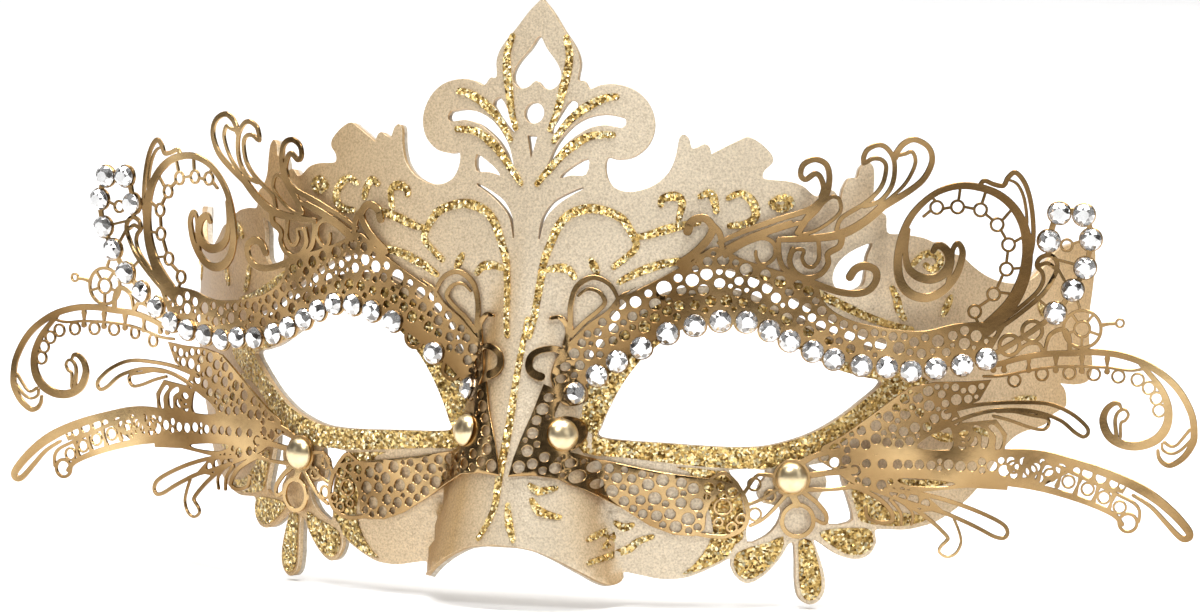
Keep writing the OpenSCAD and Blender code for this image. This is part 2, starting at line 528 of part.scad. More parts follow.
// The left side has lost the second and third stones of its temple strand
module temple_rhinestones_left()
    stones([for (i = [0 : len(strand) - 1]) if (i != 1 && i != 2) strand[i]]);
module temple_rhinestones_right() mirror([1, 0, 0]) stones(strand);

dome_r = (stud_r * stud_r + stud_h * stud_h) / (2 * stud_h);
post_bite = 0.8;
module stud_cap() color("gold") difference() {
    rotate_extrude() intersection() {
        translate([0, stud_h - dome_r]) circle(dome_r);
        square([stud_r, stud_h]);
    }
    translate([0, 0, -1]) cylinder(r = post_r + 0.15, h = 1 + post_bite + 0.1);
}
nose_cap_g = metal_gap + metal_t + 0.02;
nose_washer_g = -shell_t - 0.45;
cheek_cap_g = 0.02;
// The sheet stands this far off the shell at the cheek stud, and the washer is a little tilted to it
cheek_stand = 1.24;
cheek_washer_g = -cheek_stand - shell_t - 0.3;
washer_r = 2.4;
washer_t = 0.5;
module stud_post(cap_g, washer_g) color("darkgoldenrod") {
    translate([0, 0, washer_g - washer_t])
        cylinder(r = post_r, h = cap_g + post_bite - washer_g + washer_t);
    translate([0, 0, washer_g - washer_t - 0.4]) cylinder(r = 1.3, h = 0.4);
}
module stud_washer(g) color("goldenrod") translate([0, 0, g - washer_t]) difference() {
    cylinder(r = washer_r, h = washer_t);
    translate([0, 0, -1]) cylinder(r = post_r, h = washer_t + 2);
}
module nose_stud_cap_left() at_nose_stud() translate([0, 0, nose_cap_g]) stud_cap();
module nose_stud_cap_right() mirror([1, 0, 0]) nose_stud_cap_left();
module cheek_stud_cap_left() at_cheek_stud() translate([0, 0, cheek_cap_g]) stud_cap();
module cheek_stud_cap_right() mirror([1, 0, 0]) cheek_stud_cap_left();
module nose_stud_post_left() at_nose_stud() stud_post(nose_cap_g, nose_washer_g);
module nose_stud_post_right() mirror([1, 0, 0]) nose_stud_post_left();
module cheek_stud_post_left() at_cheek_stud() stud_post(cheek_cap_g, cheek_washer_g);
module cheek_stud_post_right() mirror([1, 0, 0]) cheek_stud_post_left();
module nose_stud_washer_left() at_nose_stud() stud_washer(nose_washer_g);
module nose_stud_washer_right() mirror([1, 0, 0]) nose_stud_washer_left();
module cheek_stud_washer_left() at_cheek_stud() stud_washer(cheek_washer_g);
module cheek_stud_washer_right() mirror([1, 0, 0]) cheek_stud_washer_left();

eyelet_flange_r = 2.1;
eyelet_flange_t = 0.35;
module tie_eyelet() color("goldenrod") at_shell(eyelet_s, eyelet_z) difference() {
    union() {
        translate([0, 0, -shell_t]) cylinder(r = eyelet_out_r, h = shell_t);
        cylinder(r = eyelet_flange_r, h = eyelet_flange_t);
        translate([0, 0, -shell_t - eyelet_flange_t])
            cylinder(r = eyelet_flange_r, h = eyelet_flange_t);
    }
    cylinder(r = eyelet_bore_r, h = 20, center = true);
}
module tie_eyelet_left() tie_eyelet();
module tie_eyelet_right() mirror([1, 0, 0]) tie_eyelet();

leatherette_cover();
backing_shell();
glitter_coat();
filigree_left();
filigree_right();
brow_rhinestones_left();
brow_rhinestones_right();
temple_rhinestones_left();
temple_rhinestones_right();
nose_stud_cap_left();
nose_stud_cap_right();
cheek_stud_cap_left();
cheek_stud_cap_right();
nose_stud_post_left();
nose_stud_post_right();
cheek_stud_post_left();
cheek_stud_post_right();
nose_stud_washer_left();
nose_stud_washer_right();
cheek_stud_washer_left();
cheek_stud_washer_right();
tie_eyelet_left();
tie_eyelet_right();
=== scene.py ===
"""Looks of a venetian masquerade eye mask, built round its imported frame.

Lengths in the helpers are millimetres and turn into metres when a mesh is made. The stage, the lights
and the camera are placed in metres. Shell shapes are drawn in arc length and height. Filigree shapes
are drawn in x and height as far out as PLATE_U, and beyond it in distance along the metal and height.
"""
import math
import random

import bpy
import numpy as np
from mathutils import Matrix, Vector
from mathutils.geometry import delaunay_2d_cdt


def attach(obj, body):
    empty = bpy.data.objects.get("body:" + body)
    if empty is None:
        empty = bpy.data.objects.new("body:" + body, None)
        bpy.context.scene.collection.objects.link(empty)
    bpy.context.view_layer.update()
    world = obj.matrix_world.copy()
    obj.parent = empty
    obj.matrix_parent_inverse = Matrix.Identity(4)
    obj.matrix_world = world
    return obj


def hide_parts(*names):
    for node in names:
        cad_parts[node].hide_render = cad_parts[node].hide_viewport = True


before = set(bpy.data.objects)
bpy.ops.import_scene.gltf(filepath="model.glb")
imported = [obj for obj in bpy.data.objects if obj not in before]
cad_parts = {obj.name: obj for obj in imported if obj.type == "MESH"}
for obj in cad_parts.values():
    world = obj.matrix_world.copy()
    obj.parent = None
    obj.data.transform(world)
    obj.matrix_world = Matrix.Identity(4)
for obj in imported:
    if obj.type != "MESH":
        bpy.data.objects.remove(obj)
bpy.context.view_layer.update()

MM = 0.001
WRAP_R, WRAP_Y = 89.0, 90.5
LEAN, LEAN_Z = math.radians(10), 27.2
NOSE_Y, NOSE_R, NOSE_SLOPE, NOSE_TOP = 6.0, 12.0, 0.24, 36.0
NOSE_BLEND, LEAN_BLEND = 1.6, 1.5
COVER_T, BACKING_T, GLITTER_T = 0.9, 0.9, 0.28
SHEET_T, SHEET_G = 0.5, 0.85
PLATE_U, FLARE_U = 39.1, 92.4
PLATE_A, FLARE_A = math.radians(26), math.radians(12)
STONE_R, STONE_PAD_R = 1.95, 2.15
NOSE_STUD, CHEEK_STUD, EYELET_AT = (9.0, 0.2), (46.8, -7.2), (108, 23.6)


# ---------- surfaces ----------

def smooth_min(a, b, k):
    h = np.maximum(k - np.abs(a - b), 0) / k
    return np.minimum(a, b) - h * h * k / 4


def nose_front(x, z, g):
    """Front of the nose cone grown by g, set back beside the cone and above its top."""
    r = NOSE_R - NOSE_SLOPE * np.minimum(z, NOSE_TOP) + g
    q = r * r - x * x
    front = np.where(q > 0, NOSE_Y - np.sqrt(np.maximum(q, 0)), NOSE_Y + 4 * (np.abs(x) - r))
    return front + 0.7 * np.maximum(z - NOSE_TOP, 0)


def shell_point(s, z):
    x, q = WRAP_R * np.sin(s / WRAP_R), WRAP_R * np.cos(s / WRAP_R)
    plain = WRAP_Y - q
    leaning = WRAP_Y + math.tan(LEAN) * (z - LEAN_Z) - q / math.cos(LEAN)
    y = -smooth_min(-plain, -leaning, LEAN_BLEND)
    return np.stack([x, smooth_min(y, nose_front(x, z, 0), NOSE_BLEND), z], -1)


def sheet_point(u, z):
    """Front face of the metal sheet."""
    r = WRAP_R + SHEET_G
    x0 = np.clip(u, -PLATE_U, PLATE_U)
    wrap = WRAP_Y - np.sqrt(r * r - x0 * x0)
    plate = np.clip(u, PLATE_U, FLARE_U) - PLATE_U
    flare = np.maximum(u, FLARE_U) - FLARE_U
    x = x0 + plate * math.cos(PLATE_A) + flare * math.cos(FLARE_A)
    y = wrap + plate * math.sin(PLATE_A) + flare * math.sin(FLARE_A)
    near_nose = smooth_min(y, nose_front(x, z, SHEET_G), NOSE_BLEND)
    return np.stack([x, np.where(u < 30, near_nose, y), z], -1)


def lifted(surface, a, z, h):
    """The point on a surface at (a, z), moved h along its outward normal, and that normal."""
    a, z = np.asarray(a, float), np.asarray(z, float)
    e = 0.05
    da = surface(a + e, z) - surface(a - e, z)
    dz = surface(a, z + e) - surface(a, z - e)
    n = np.cross(da, dz)
    n /= np.linalg.norm(n, axis=-1, keepdims=True)
    return surface(a, z) + n * np.asarray(h)[..., None], n


# ---------- flat shapes ----------

def spline(points, n, closed=False):
    """A smooth line through the points, with n steps between neighbours."""
    p = np.array(points, float)
    ext = np.vstack([p[-1], p, p[:2]]) if closed else np.vstack([p[0], p, p[-1]])
    t = (np.arange(n) / n)[:, None]
    out = []
    for a, b, c, d in zip(ext, ext[1:], ext[2:], ext[3:]):
        out.append(0.5 * (2 * b + (c - a) * t + (2 * a - 5 * b + 4 * c - d) * t**2
                          + (3 * b - a - 3 * c + d) * t**3))
    return np.vstack(out if closed else out + [p[-1:]])


def disc(c, r, n):
    a = np.arange(n) * 2 * math.pi / n
    return np.array(c) + r * np.stack([np.cos(a), np.sin(a)], -1)


def sided(points, side):
    """The points as drawn for the wearer's left, side 1, or mirrored for the right, side -1."""
    return [(side * a, b) for a, b in points]


def facing_out(faces, side):
    """The faces, turned over for the mirrored side, so that they still face out."""
    return faces if side > 0 else [f[::-1] for f in faces]


class Cut:
    """A sheet's flat shape: bodies less holes, then strokes laid over them."""

    def __init__(self):
        self.bodies, self.holes, self.over = [], [], []

    def body(self, points, n=1):
        self.bodies.append(spline(points, n, True) if n > 1 else np.array(points, float))

    def hole(self, points, n=1):
        self.holes.append(spline(points, n, True) if n > 1 else np.array(points, float))

    def stroke(self, widths, points, into=None, n=6):
        """A line of changing width, as quads that share their ends, with round ends."""
        into = self.over if into is None else into
        q = spline(points, n)
        d = np.gradient(q, axis=0)
        d /= np.maximum(np.linalg.norm(d, axis=1, keepdims=True), 1e-6)
        side = np.stack([-d[:, 1], d[:, 0]], -1)
        w = np.interp(np.linspace(0, 1, len(q)), np.linspace(0, 1, len(widths)), widths)[:, None] / 2
        left, right = q + side * w, q - side * w
        for i in range(len(q) - 1):
            into.append(np.array([left[i], right[i], right[i + 1], left[i + 1]]))
        into.append(disc(q[0], w[0, 0], 10))
        into.append(disc(q[-1], w[-1, 0], 10))

    def ring(self, c, r, w, n=18):
        outer, inner = disc(c, r, n), disc(c, r - w, n)
        for i in range(n):
            j = (i + 1) % n
            self.over.append(np.array([outer[i], outer[j], inner[j], inner[i]]))

    def dot(self, c, r, n=16):
        self.over.append(disc(c, r, n))


def inside(points, poly):
    x, y = points[:, 0], points[:, 1]
    hit = np.zeros(len(points), bool)
    for (x0, y0), (x1, y1) in zip(poly, np.roll(poly, -1, 0)):
        if y0 != y1:
            hit ^= ((y0 > y) != (y1 > y)) & (x < (x1 - x0) * (y - y0) / (y1 - y0) + x0)
    return hit


def edge_distance(points, poly):
    best = np.full(len(points), 1e9)
    for a, b in zip(poly, np.roll(poly, -1, 0)):
        d = b - a
        t = np.clip(((points - a) @ d) / max(d @ d, 1e-9), 0, 1)
        best = np.minimum(best, np.linalg.norm(points - a - t[:, None] * d, axis=1))
    return best


def foam(region, web, r_max, r_min, keep_off=(), seed=1):
    """Packs round holes of mixed size into a region, leaving webs between them."""
    rng = np.random.default_rng(seed)
    region = np.array(region, float)
    low, high = region.min(0), region.max(0)
    step, jitter, most, slack = 0.2, 0.08, 400, 0.02
    grid = np.stack(np.meshgrid(np.arange(low[0], high[0], step),
                                np.arange(low[1], high[1], step)), -1).reshape(-1, 2)
    grid = grid + rng.uniform(-jitter, jitter, grid.shape)
    grid = grid[inside(grid, region)]
    room = edge_distance(grid, region) - web
    for c, r in keep_off:
        room = np.minimum(room, np.linalg.norm(grid - np.array(c), axis=1) - r - web)
    found = []
    while len(found) < most:
        limit = rng.uniform(r_min + 0.5 * (r_max - r_min), r_max)
        fit = np.minimum(room, limit)
        best = fit.max()
        if best < r_min:
            break
        i = rng.choice(np.flatnonzero(fit > best - slack))
        found.append((tuple(grid[i]), best))
        room = np.minimum(room, np.linalg.norm(grid - grid[i], axis=1) - best - web)
    return found


# ---------- from flat shapes to meshes ----------

def covered(points, polys):
    """Which points lie in any of the polygons, each filled wherever its outline winds round."""
    found = np.zeros(len(points), bool)
    for poly in polys:
        low, high = poly.min(0), poly.max(0)
        near = np.flatnonzero(~found & (points > low).all(1) & (points < high).all(1))
        x, y = points[near, 0], points[near, 1]
        turns = np.zeros(len(near), int)
        for (x1, y1), (x2, y2) in zip(poly, np.roll(poly, -1, axis=0)):
            left = (x2 - x1) * (y - y1) - (x - x1) * (y2 - y1)
            turns += (y1 <= y) & (y < y2) & (left > 0)
            turns -= (y2 <= y) & (y < y1) & (left < 0)
        found[near[turns != 0]] = True
    return found


def triangles(cut, extra=()):
    """Triangulates a cut shape and returns its points and its kept triangles."""
    points, edges = [], []
    for poly in cut.bodies + cut.holes + cut.over:
        first = len(points)
        edges += [(first + i, first + (i + 1) % len(poly)) for i in range(len(poly))]
        points.extend(poly)
    points.extend(extra)
    out = delaunay_2d_cdt([Vector(p) for p in points], edges, [], 0, 1e-4, False)
    verts = np.array([tuple(v) for v in out[0]])
    tris = np.array([t for t in out[2] if len(t) == 3])
    middle = verts[tris].mean(1)
    keep = covered(middle, cut.bodies) & ~covered(middle, cut.holes)
    return verts, tris[keep | covered(middle, cut.over)]


def new_object(name, verts, faces, material, sharp=40, smooth=True):
    mesh = bpy.data.meshes.new(name)
    mesh.from_pydata([tuple(v) for v in np.asarray(verts) * MM], [], [tuple(map(int, f)) for f in faces])
    mesh.materials.append(material)
    mesh.update()
    if smooth:
        mesh.polygons.foreach_set("use_smooth", [True] * len(mesh.polygons))
        mesh.set_sharp_from_angle(angle=math.radians(sharp))
    obj = bpy.data.objects.new(name, mesh)
    bpy.context.collection.objects.link(obj)
    return obj


def slab(flat, tris, surface, low, high, side=1, bevel=0.07, wave=None):
    """A sheet between heights low and high over a surface, with slightly eased edges."""
    used, tris = np.unique(tris, return_inverse=True)
    tris = tris.reshape(-1, 3)
    flat = flat[used]
    n = len(flat)
    directed = np.vstack([tris[:, [0, 1]], tris[:, [1, 2]], tris[:, [2, 0]]])
    known = {(a, b) for a, b in directed.tolist()}
    rim = np.array([(a, b) for a, b in directed.tolist() if (b, a) not in known])
    inward = np.zeros((n, 2))
    d = flat[rim[:, 1]] - flat[rim[:, 0]]
    d /= np.maximum(np.linalg.norm(d, axis=1, keepdims=True), 1e-9)
    normal = np.stack([-d[:, 1], d[:, 0]], -1)
    np.add.at(inward, rim[:, 0], normal)
    np.add.at(inward, rim[:, 1], normal)
    size = np.linalg.norm(inward, axis=1, keepdims=True)
    inward = np.where(size > 0.7, inward / np.maximum(size, 1e-9), 0) * bevel
    eased = flat + inward
    top = high if wave is None else high + wave(eased)
    front = lifted(surface, eased[:, 0], eased[:, 1], np.broadcast_to(top, n))[0]
    back = lifted(surface, eased[:, 0], eased[:, 1], np.full(n, low))[0]
    edge = np.unique(rim)
    place = np.full(n, -1)
    place[edge] = np.arange(len(edge))
    upper = lifted(surface, flat[edge, 0], flat[edge, 1], np.full(len(edge), high - bevel))[0]
    lower = lifted(surface, flat[edge, 0], flat[edge, 1], np.full(len(edge), low + bevel))[0]
    verts = np.vstack([front, back, upper, lower])
    m = len(edge)
    a, b = rim[:, 0], rim[:, 1]
    ua, ub = 2 * n + place[a], 2 * n + place[b]
    la, lb = ua + m, ub + m
    faces = tris.tolist() + (tris[:, ::-1] + n).tolist()
    faces += np.stack([b, a, ua, ub], -1).tolist()
    faces += np.stack([ub, ua, la, lb], -1).tolist()
    faces += np.stack([lb, la, a + n, b + n], -1).tolist()
    return verts * [side, 1, 1], facing_out(faces, side)


def lathe(profile, n=40):
    """Turns an (r, h) profile round the h axis; a point on the axis closes it."""
    verts, faces, rows = [], [], []
    for r, h in profile:
        if r < 1e-6:
            rows.append([len(verts)] * n)
            verts.append((0, 0, h))
        else:
            rows.append(list(range(len(verts), len(verts) + n)))
            verts += [(r * math.cos(2 * math.pi * i / n), r * math.sin(2 * math.pi * i / n), h)
                      for i in range(n)]
    for p, q in zip(rows, rows[1:]):
        for i in range(n):
            j = (i + 1) % n
            f = [p[i], p[j], q[j], q[i]]
            faces.append(tuple(dict.fromkeys(f)))
    return np.array(verts, float), faces


def placed(verts, surface, a, z, h, side, turn=0.0):
    """Puts a small part's local points on a surface, its Z along the outward normal."""
    p, n = lifted(surface, np.array([a]), np.array([z]), np.array([h]))
    p, n = p[0], n[0]
    up = np.array([0, 0, 1.0])
    x = np.cross(up, n)
    x /= np.linalg.norm(x)
    y = np.cross(n, x)
    c, s = math.cos(turn), math.sin(turn)
    local = verts[:, :1] * (c * x + s * y) + verts[:, 1:2] * (c * y - s * x) + verts[:, 2:] * n
    return (p + local) * [side, 1, 1]


# ---------- materials ----------

class Nodes:
    """A material's node tree with short calls for adding and joining nodes."""

    def __init__(self, name):
        self.material = bpy.data.materials.new(name)
        self.material.use_nodes = True
        self.tree = self.material.node_tree
        self.shader = self.tree.nodes["Principled BSDF"]

    def add(self, kind, settings=None, **inputs):
        node = self.tree.nodes.new("ShaderNode" + kind)
        for key, value in (settings or {}).items():
            setattr(node, key, value)
        for key, value in inputs.items():
            self.set(node, key.replace("_", " "), value)
        return node

    def set(self, node, key, value):
        socket = node.inputs[int(key) if key.isdigit() else key]
        if isinstance(value, bpy.types.NodeSocket):
            self.tree.links.new(value, socket)
        else:
            socket.default_value = value

    def base(self, **inputs):
        for key, value in inputs.items():
            self.set(self.shader, key.replace("_", " "), value)

    def place(self, scale):
        coords = self.add("TexCoord")
        return self.add("Mapping", Vector=coords.outputs["Object"], Scale=(scale,) * 3).outputs[0]

    def ramp(self, value, stops):
        node = self.add("ValToRGB", Fac=value)
        ramp = node.color_ramp
        while len(ramp.elements) < len(stops):
            ramp.elements.new(0.5)
        for element, (at, colour) in zip(ramp.elements, stops):
            element.position = at
            element.color = (*colour, 1)
        return node.outputs[0]

    def mix(self, fac, a, b, blend="MIX"):
        node = self.add("Mix", {"data_type": "RGBA", "blend_type": blend})
        self.set(node, "0", fac)
        self.set(node, "6", a)
        self.set(node, "7", b)
        return node.outputs[2]

    def bump(self, height, strength, distance):
        return self.add("Bump", Height=height, Strength=strength, Distance=distance).outputs[0]


def leatherette():
    """Champagne pearl skin with a fine shimmering grain, and painted shade that makes it darker and browner
    where it turns away from the camera.
    """
    m = Nodes("leatherette")
    grain = m.add("TexNoise", Vector=m.place(2600), Scale=1.0, Detail=3.0, Roughness=0.7)
    cells = m.add("TexVoronoi", Vector=m.place(2200), Scale=1.0)
    clouds = m.add("TexNoise", Vector=m.place(40), Scale=1.0, Detail=3.0)
    # Painted shade: a facing ramp darkens and browns the skin where it turns away from the camera.
    face = m.add("LayerWeight", Blend=0.35)
    painted_facing_shade = m.ramp(face.outputs["Facing"], [(0.0, (0.77, 0.67, 0.52)), (0.13, (0.71, 0.56, 0.37)),
                                          (0.32, (0.55, 0.37, 0.18)), (1.0, (0.32, 0.19, 0.08))])
    speck = m.ramp(grain.outputs[0], [(0.36, (0.72, 0.66, 0.58)), (0.5, (0.98, 0.97, 0.95)),
                                      (0.66, (1.22, 1.2, 1.16))])
    colour = m.mix(0.8, painted_facing_shade, speck, "MULTIPLY")
    drift = m.ramp(clouds.outputs[0], [(0.3, (0.93, 0.92, 0.90)), (0.7, (1.04, 1.04, 1.04))])
    m.base(Base_Color=m.mix(1.0, colour, drift, "MULTIPLY"), Metallic=0.35, Roughness=0.42,
           Normal=m.bump(cells.outputs["Distance"], 0.25, 0.0002))
    return m.material


def backing():
    m = Nodes("backing")
    weave = m.add("TexNoise", Vector=m.place(1400), Scale=1.0, Detail=4.0)
    tone = m.ramp(weave.outputs[0], [(0.3, (0.40, 0.34, 0.26)), (0.7, (0.58, 0.51, 0.42))])
    m.base(Base_Color=tone, Roughness=0.95, Normal=m.bump(weave.outputs[0], 0.6, 0.0003))
    return m.material


def glitter():
    """Loose gold flakes: every small cell has its own tone and its own tilt."""
    m = Nodes("gold_glitter")
    place = m.place(2400)
    cells = m.add("TexVoronoi", Vector=place, Scale=1.0, Randomness=1.0)
    split = m.add("SeparateColor", Color=cells.outputs["Color"])
    tone = m.ramp(split.outputs[0], [(0.0, (0.24, 0.13, 0.03)), (0.4, (0.58, 0.38, 0.11)),
                                     (0.75, (0.88, 0.66, 0.27)), (1.0, (1.0, 0.94, 0.66))])
    normal = m.add("NewGeometry")
    tilt = m.add("VectorMath", {"operation": "SUBTRACT"})
    m.set(tilt, "0", cells.outputs["Color"])
    m.set(tilt, "1", (0.5, 0.5, 0.5))
    lean = m.add("VectorMath", {"operation": "MULTIPLY_ADD"})
    m.set(lean, "0", tilt.outputs[0])
    m.set(lean, "1", (1.5, 1.5, 1.5))
    m.set(lean, "2", normal.outputs["Normal"])
    unit = m.add("VectorMath", {"operation": "NORMALIZE"})
    m.set(unit, "0", lean.outputs[0])
    m.base(Base_Color=tone, Metallic=0.65, Roughness=0.28, Normal=unit.outputs[0])
    return m.material


def gold_sheet():
    """Thin polished sheet brass, gently uneven, with a darker warm film."""
    m = Nodes("filigree_gold")
    waves = m.add("TexNoise", Vector=m.place(55), Scale=1.0, Detail=1.0)
    fine = m.add("TexNoise", Vector=m.place(900), Scale=1.0, Detail=3.0)
    film = m.ramp(waves.outputs[0], [(0.32, (0.21, 0.12, 0.045)), (0.55, (0.42, 0.27, 0.12)),
                                     (0.72, (0.70, 0.49, 0.24))])
    first = m.bump(waves.outputs[0], 0.5, 0.003)
    second = m.add("Bump", Height=fine.outputs[0], Strength=0.15, Distance=0.0001, Normal=first)
    gloss = m.add("MapRange", Value=fine.outputs[0], To_Min=0.16, To_Max=0.32)
    m.base(Base_Color=film, Metallic=1.0, Roughness=gloss.outputs[0], Normal=second.outputs[0])
    return m.material


def dome_gold():
    m = Nodes("polished_gold")
    fine = m.add("TexNoise", Vector=m.place(700), Scale=1.0, Detail=3.0)
    tone = m.ramp(fine.outputs[0], [(0.3, (0.84, 0.66, 0.38)), (0.7, (0.94, 0.79, 0.52))])
    m.base(Base_Color=tone, Metallic=1.0, Roughness=0.34, Normal=m.bump(fine.outputs[0], 0.1, 0.0001))
    return m.material


def plain_metal(name, dark, light, roughness):
    m = Nodes(name)
    fine = m.add("TexNoise", Vector=m.place(1100), Scale=1.0, Detail=3.0)
    tone = m.ramp(fine.outputs[0], [(0.3, dark), (0.7, light)])
    m.base(Base_Color=tone, Metallic=1.0, Roughness=roughness,
           Normal=m.bump(fine.outputs[0], 0.2, 0.0001))
    return m.material


def rhinestone():
    """Foil-backed stones, with painted glints: each facet gets its own brightness, from dark to white,
    standing in for the lights it reflects.
    """
    m = Nodes("rhinestone")
    tone = m.add("Attribute", {"attribute_name": "facet"})
    # Painted glints and dark reflections: a ramp turns each facet's random value into a grey between dark
    # and white.
    painted_facet_glint = m.ramp(tone.outputs["Fac"], [(0.0, (0.14, 0.13, 0.12)), (0.25, (0.56, 0.55, 0.54)),
                                        (0.5, (0.90, 0.90, 0.90)), (1.0, (1.0, 1.0, 1.0))])
    cloud = m.add("TexNoise", Vector=m.place(900), Scale=1.0, Detail=2.0)
    veil = m.ramp(cloud.outputs[0], [(0.3, (0.9, 0.9, 0.9)), (0.7, (1.0, 1.0, 1.0))])
    m.base(Base_Color=m.mix(1.0, painted_facet_glint, veil, "MULTIPLY"), Metallic=0.75, Roughness=0.06,
           Coat_Weight=1.0, Coat_Roughness=0.02)
    return m.material


def floor_paint():
    m = Nodes("floor_paint")
    fine = m.add("TexNoise", Vector=m.place(30), Scale=1.0, Detail=2.0)
    tone = m.ramp(fine.outputs[0], [(0.3, (0.90, 0.90, 0.90)), (0.7, (0.93, 0.93, 0.93))])
    m.base(Base_Color=tone, Roughness=0.9)
    return m.material


# ---------- the shell ----------

CROWN = [
    (0, 75.8), (2.2, 73.5), (4.4, 70.5), (6.8, 67.4), (7.8, 64.8), (7.6, 61.9), (8.8, 61.6),
    (9.9, 60.3), (11.8, 61), (14.5, 61.2), (18, 60.2), (20.6, 57.8), (21.8, 54.3), (21, 51),
    (18.6, 48.8), (15.8, 48.2), (13.8, 48.4), (13.7, 46), (14.8, 43.8), (17, 42.7), (19.6, 42.8),
    (22.6, 44), (24.8, 46.2), (25.8, 49), (26.2, 52), (27, 52.7), (27.9, 52), (28.5, 50.4),
    (29.6, 50.6), (30.6, 51.1), (31.5, 50.7), (32, 49.4)]
SIDE = [
    (34.6, 50.8), (36.6, 51.8), (38, 52.4), (39.4, 52), (41.2, 50.8), (42.7, 49.2), (42.8, 47.9),
    (41.5, 46.6), (41.4, 45.3), (43.2, 45), (46.2, 44.7), (48.6, 43.9), (50.4, 42.5), (51.6, 42.2),
    (53, 43.2), (54.5, 42.9), (55.5, 41.2), (56, 43.6), (57, 45.3), (58.4, 45.3), (59, 47.2),
    (60.3, 48), (61.4, 47), (61.7, 44.8), (61.8, 41.8), (63, 39.6), (64.4, 38.6), (64.6, 36.6),
    (65.2, 35.5), (68, 35.3), (72, 34.6), (74.4, 33.7), (76, 33.8), (77.6, 32.8), (78.2, 31.8),
    (80.5, 31), (83.5, 28.8), (87, 27), (91, 26), (94.5, 25.8), (97.5, 26.8), (100.5, 29),
    (103, 31), (106, 31.8), (110, 32.2), (113.5, 32), (115.3, 30.4), (115.4, 27), (114.8, 23),
    (113.9, 18.6), (114.2, 14), (115.3, 10.8), (115, 8.2), (113.4, 7), (109.5, 6.8), (105.2, 7.4)]
LOW = [
    (106.6, 6.2), (107.2, 4.6), (107, 3.1), (105, 2.4), (103, 1.7), (101.4, 0.3), (98.5, -0.3),
    (95.5, -0.8), (93, -1.7), (90.5, -3.6), (88, -6.5), (85.5, -9.5), (82.3, -12.2), (78.5, -14.5),
    (75, -16), (70, -16.9), (65.5, -16.7), (63.7, -16.9), (63.9, -19), (62.8, -20.9), (60.8, -21.8),
    (58.4, -21.6), (56, -20.6), (53.6, -19), (52.2, -18.4), (53.3, -21.4), (54.3, -25),
    (54.2, -27.6), (52.9, -29.3), (51.2, -29.6), (49.6, -28.3), (49, -25.6), (48.9, -22),
    (48.6, -19), (47.6, -19), (46.2, -21.3), (44, -23.8), (41.8, -25.4), (40, -25.8), (38.4, -24.8),
    (37.4, -22.9), (37.2, -21.5), (35, -22.6), (32, -24), (29, -25), (25, -25.2), (21.5, -24.6),
    (18.6, -24.2), (18.4, -25.4), (17.7, -26.2), (16.2, -25.4), (14, -23.8), (11, -21.9),
    (8.5, -20.6), (6, -19.6), (3, -19.1)]
EYE = [
    (13.8, -0.4), (18, -1), (25, -1.3), (32, -1.7), (38, -1.9), (43, -1.7), (48, -0.6), (52, 0.8),
    (56, 2.9), (60, 5.6), (64.4, 9.2), (61, 10.3), (57, 11.4), (53, 13.2), (48, 15.9), (43.5, 18.5),
    (39.5, 20.1), (35.5, 20.7), (31.5, 20.2), (27.5, 18.4), (23.5, 15.6), (20.3, 12.4), (17.6, 8.6),
    (15.4, 4.4), (14.2, 1.4)]
BROW_SLOT = [(12, 13.8), (14, 17.2), (16.8, 20.8), (20.5, 23.9), (25, 26.4), (30, 27.7), (35, 27.7),
             (40, 26.6), (45, 24.3), (50, 21.7), (55, 19.2), (60, 17), (66, 15.3)]
CHEEK_WINDOW = [
    (36.8, -5.9), (43.4, -5.9), (42.2, -8.4), (41.9, -10.2), (43, -11.7), (46, -12.4), (46, -14.4),
    (44.6, -16.6), (42.6, -18), (40.2, -18.6), (40.1, -15.2), (39.8, -11.6), (38.5, -8)]
FLOWER_WINDOW = [
    (51, -5.1), (54.6, -4.5), (55.4, -3.1), (57.1, -2.8), (57, -6), (57.8, -9.2), (59.4, -13.8),
    (58.8, -15.3), (55, -15.6), (54.4, -13.4), (52.8, -11.2), (54.2, -9), (54.2, -7.2), (52.8, -6.2)]
HOOK_WINDOW = [(54.8, 27.6), (55.4, 30), (57.2, 31.9), (59.6, 33.2), (62, 33.8), (61.2, 31.4),
               (61, 28.4), (60.4, 26.4), (58.2, 25.5), (55.8, 25.8)]
HEART = [(0, 69.2), (1.6, 67), (3.6, 64.6), (4.5, 62.6), (4.2, 61), (2.9, 60), (1.4, 60.3), (0, 61.4),
         (-1.4, 60.3), (-2.9, 60), (-4.2, 61), (-4.5, 62.6), (-3.6, 64.6), (-1.6, 67)]
CROWN_SLOT = [(6.4, 58.2), (7.9, 56.9), (4, 52.4), (3.4, 53.2), (4.2, 54.8)]
LONG_SLOT = [(3.2, 45.8), (4.6, 49.4), (6.8, 52.2), (9.6, 54.2), (12.8, 55), (15.8, 54.6)]
LOW_WINDOW = [(5.6, 44.7), (7, 46.3), (10.4, 48.2), (10.2, 45.4), (7.6, 45.2)]
THIN_SLIT = [(2.4, 34), (3, 37.4), (4.8, 40), (7.4, 41.8), (9.8, 43)]


def half_outline():
    return np.vstack([spline(CROWN, 4)[:-1], spline(CROWN[-1:] + SIDE, 4)[:-1],
                      spline(SIDE[-1:] + LOW, 4)])


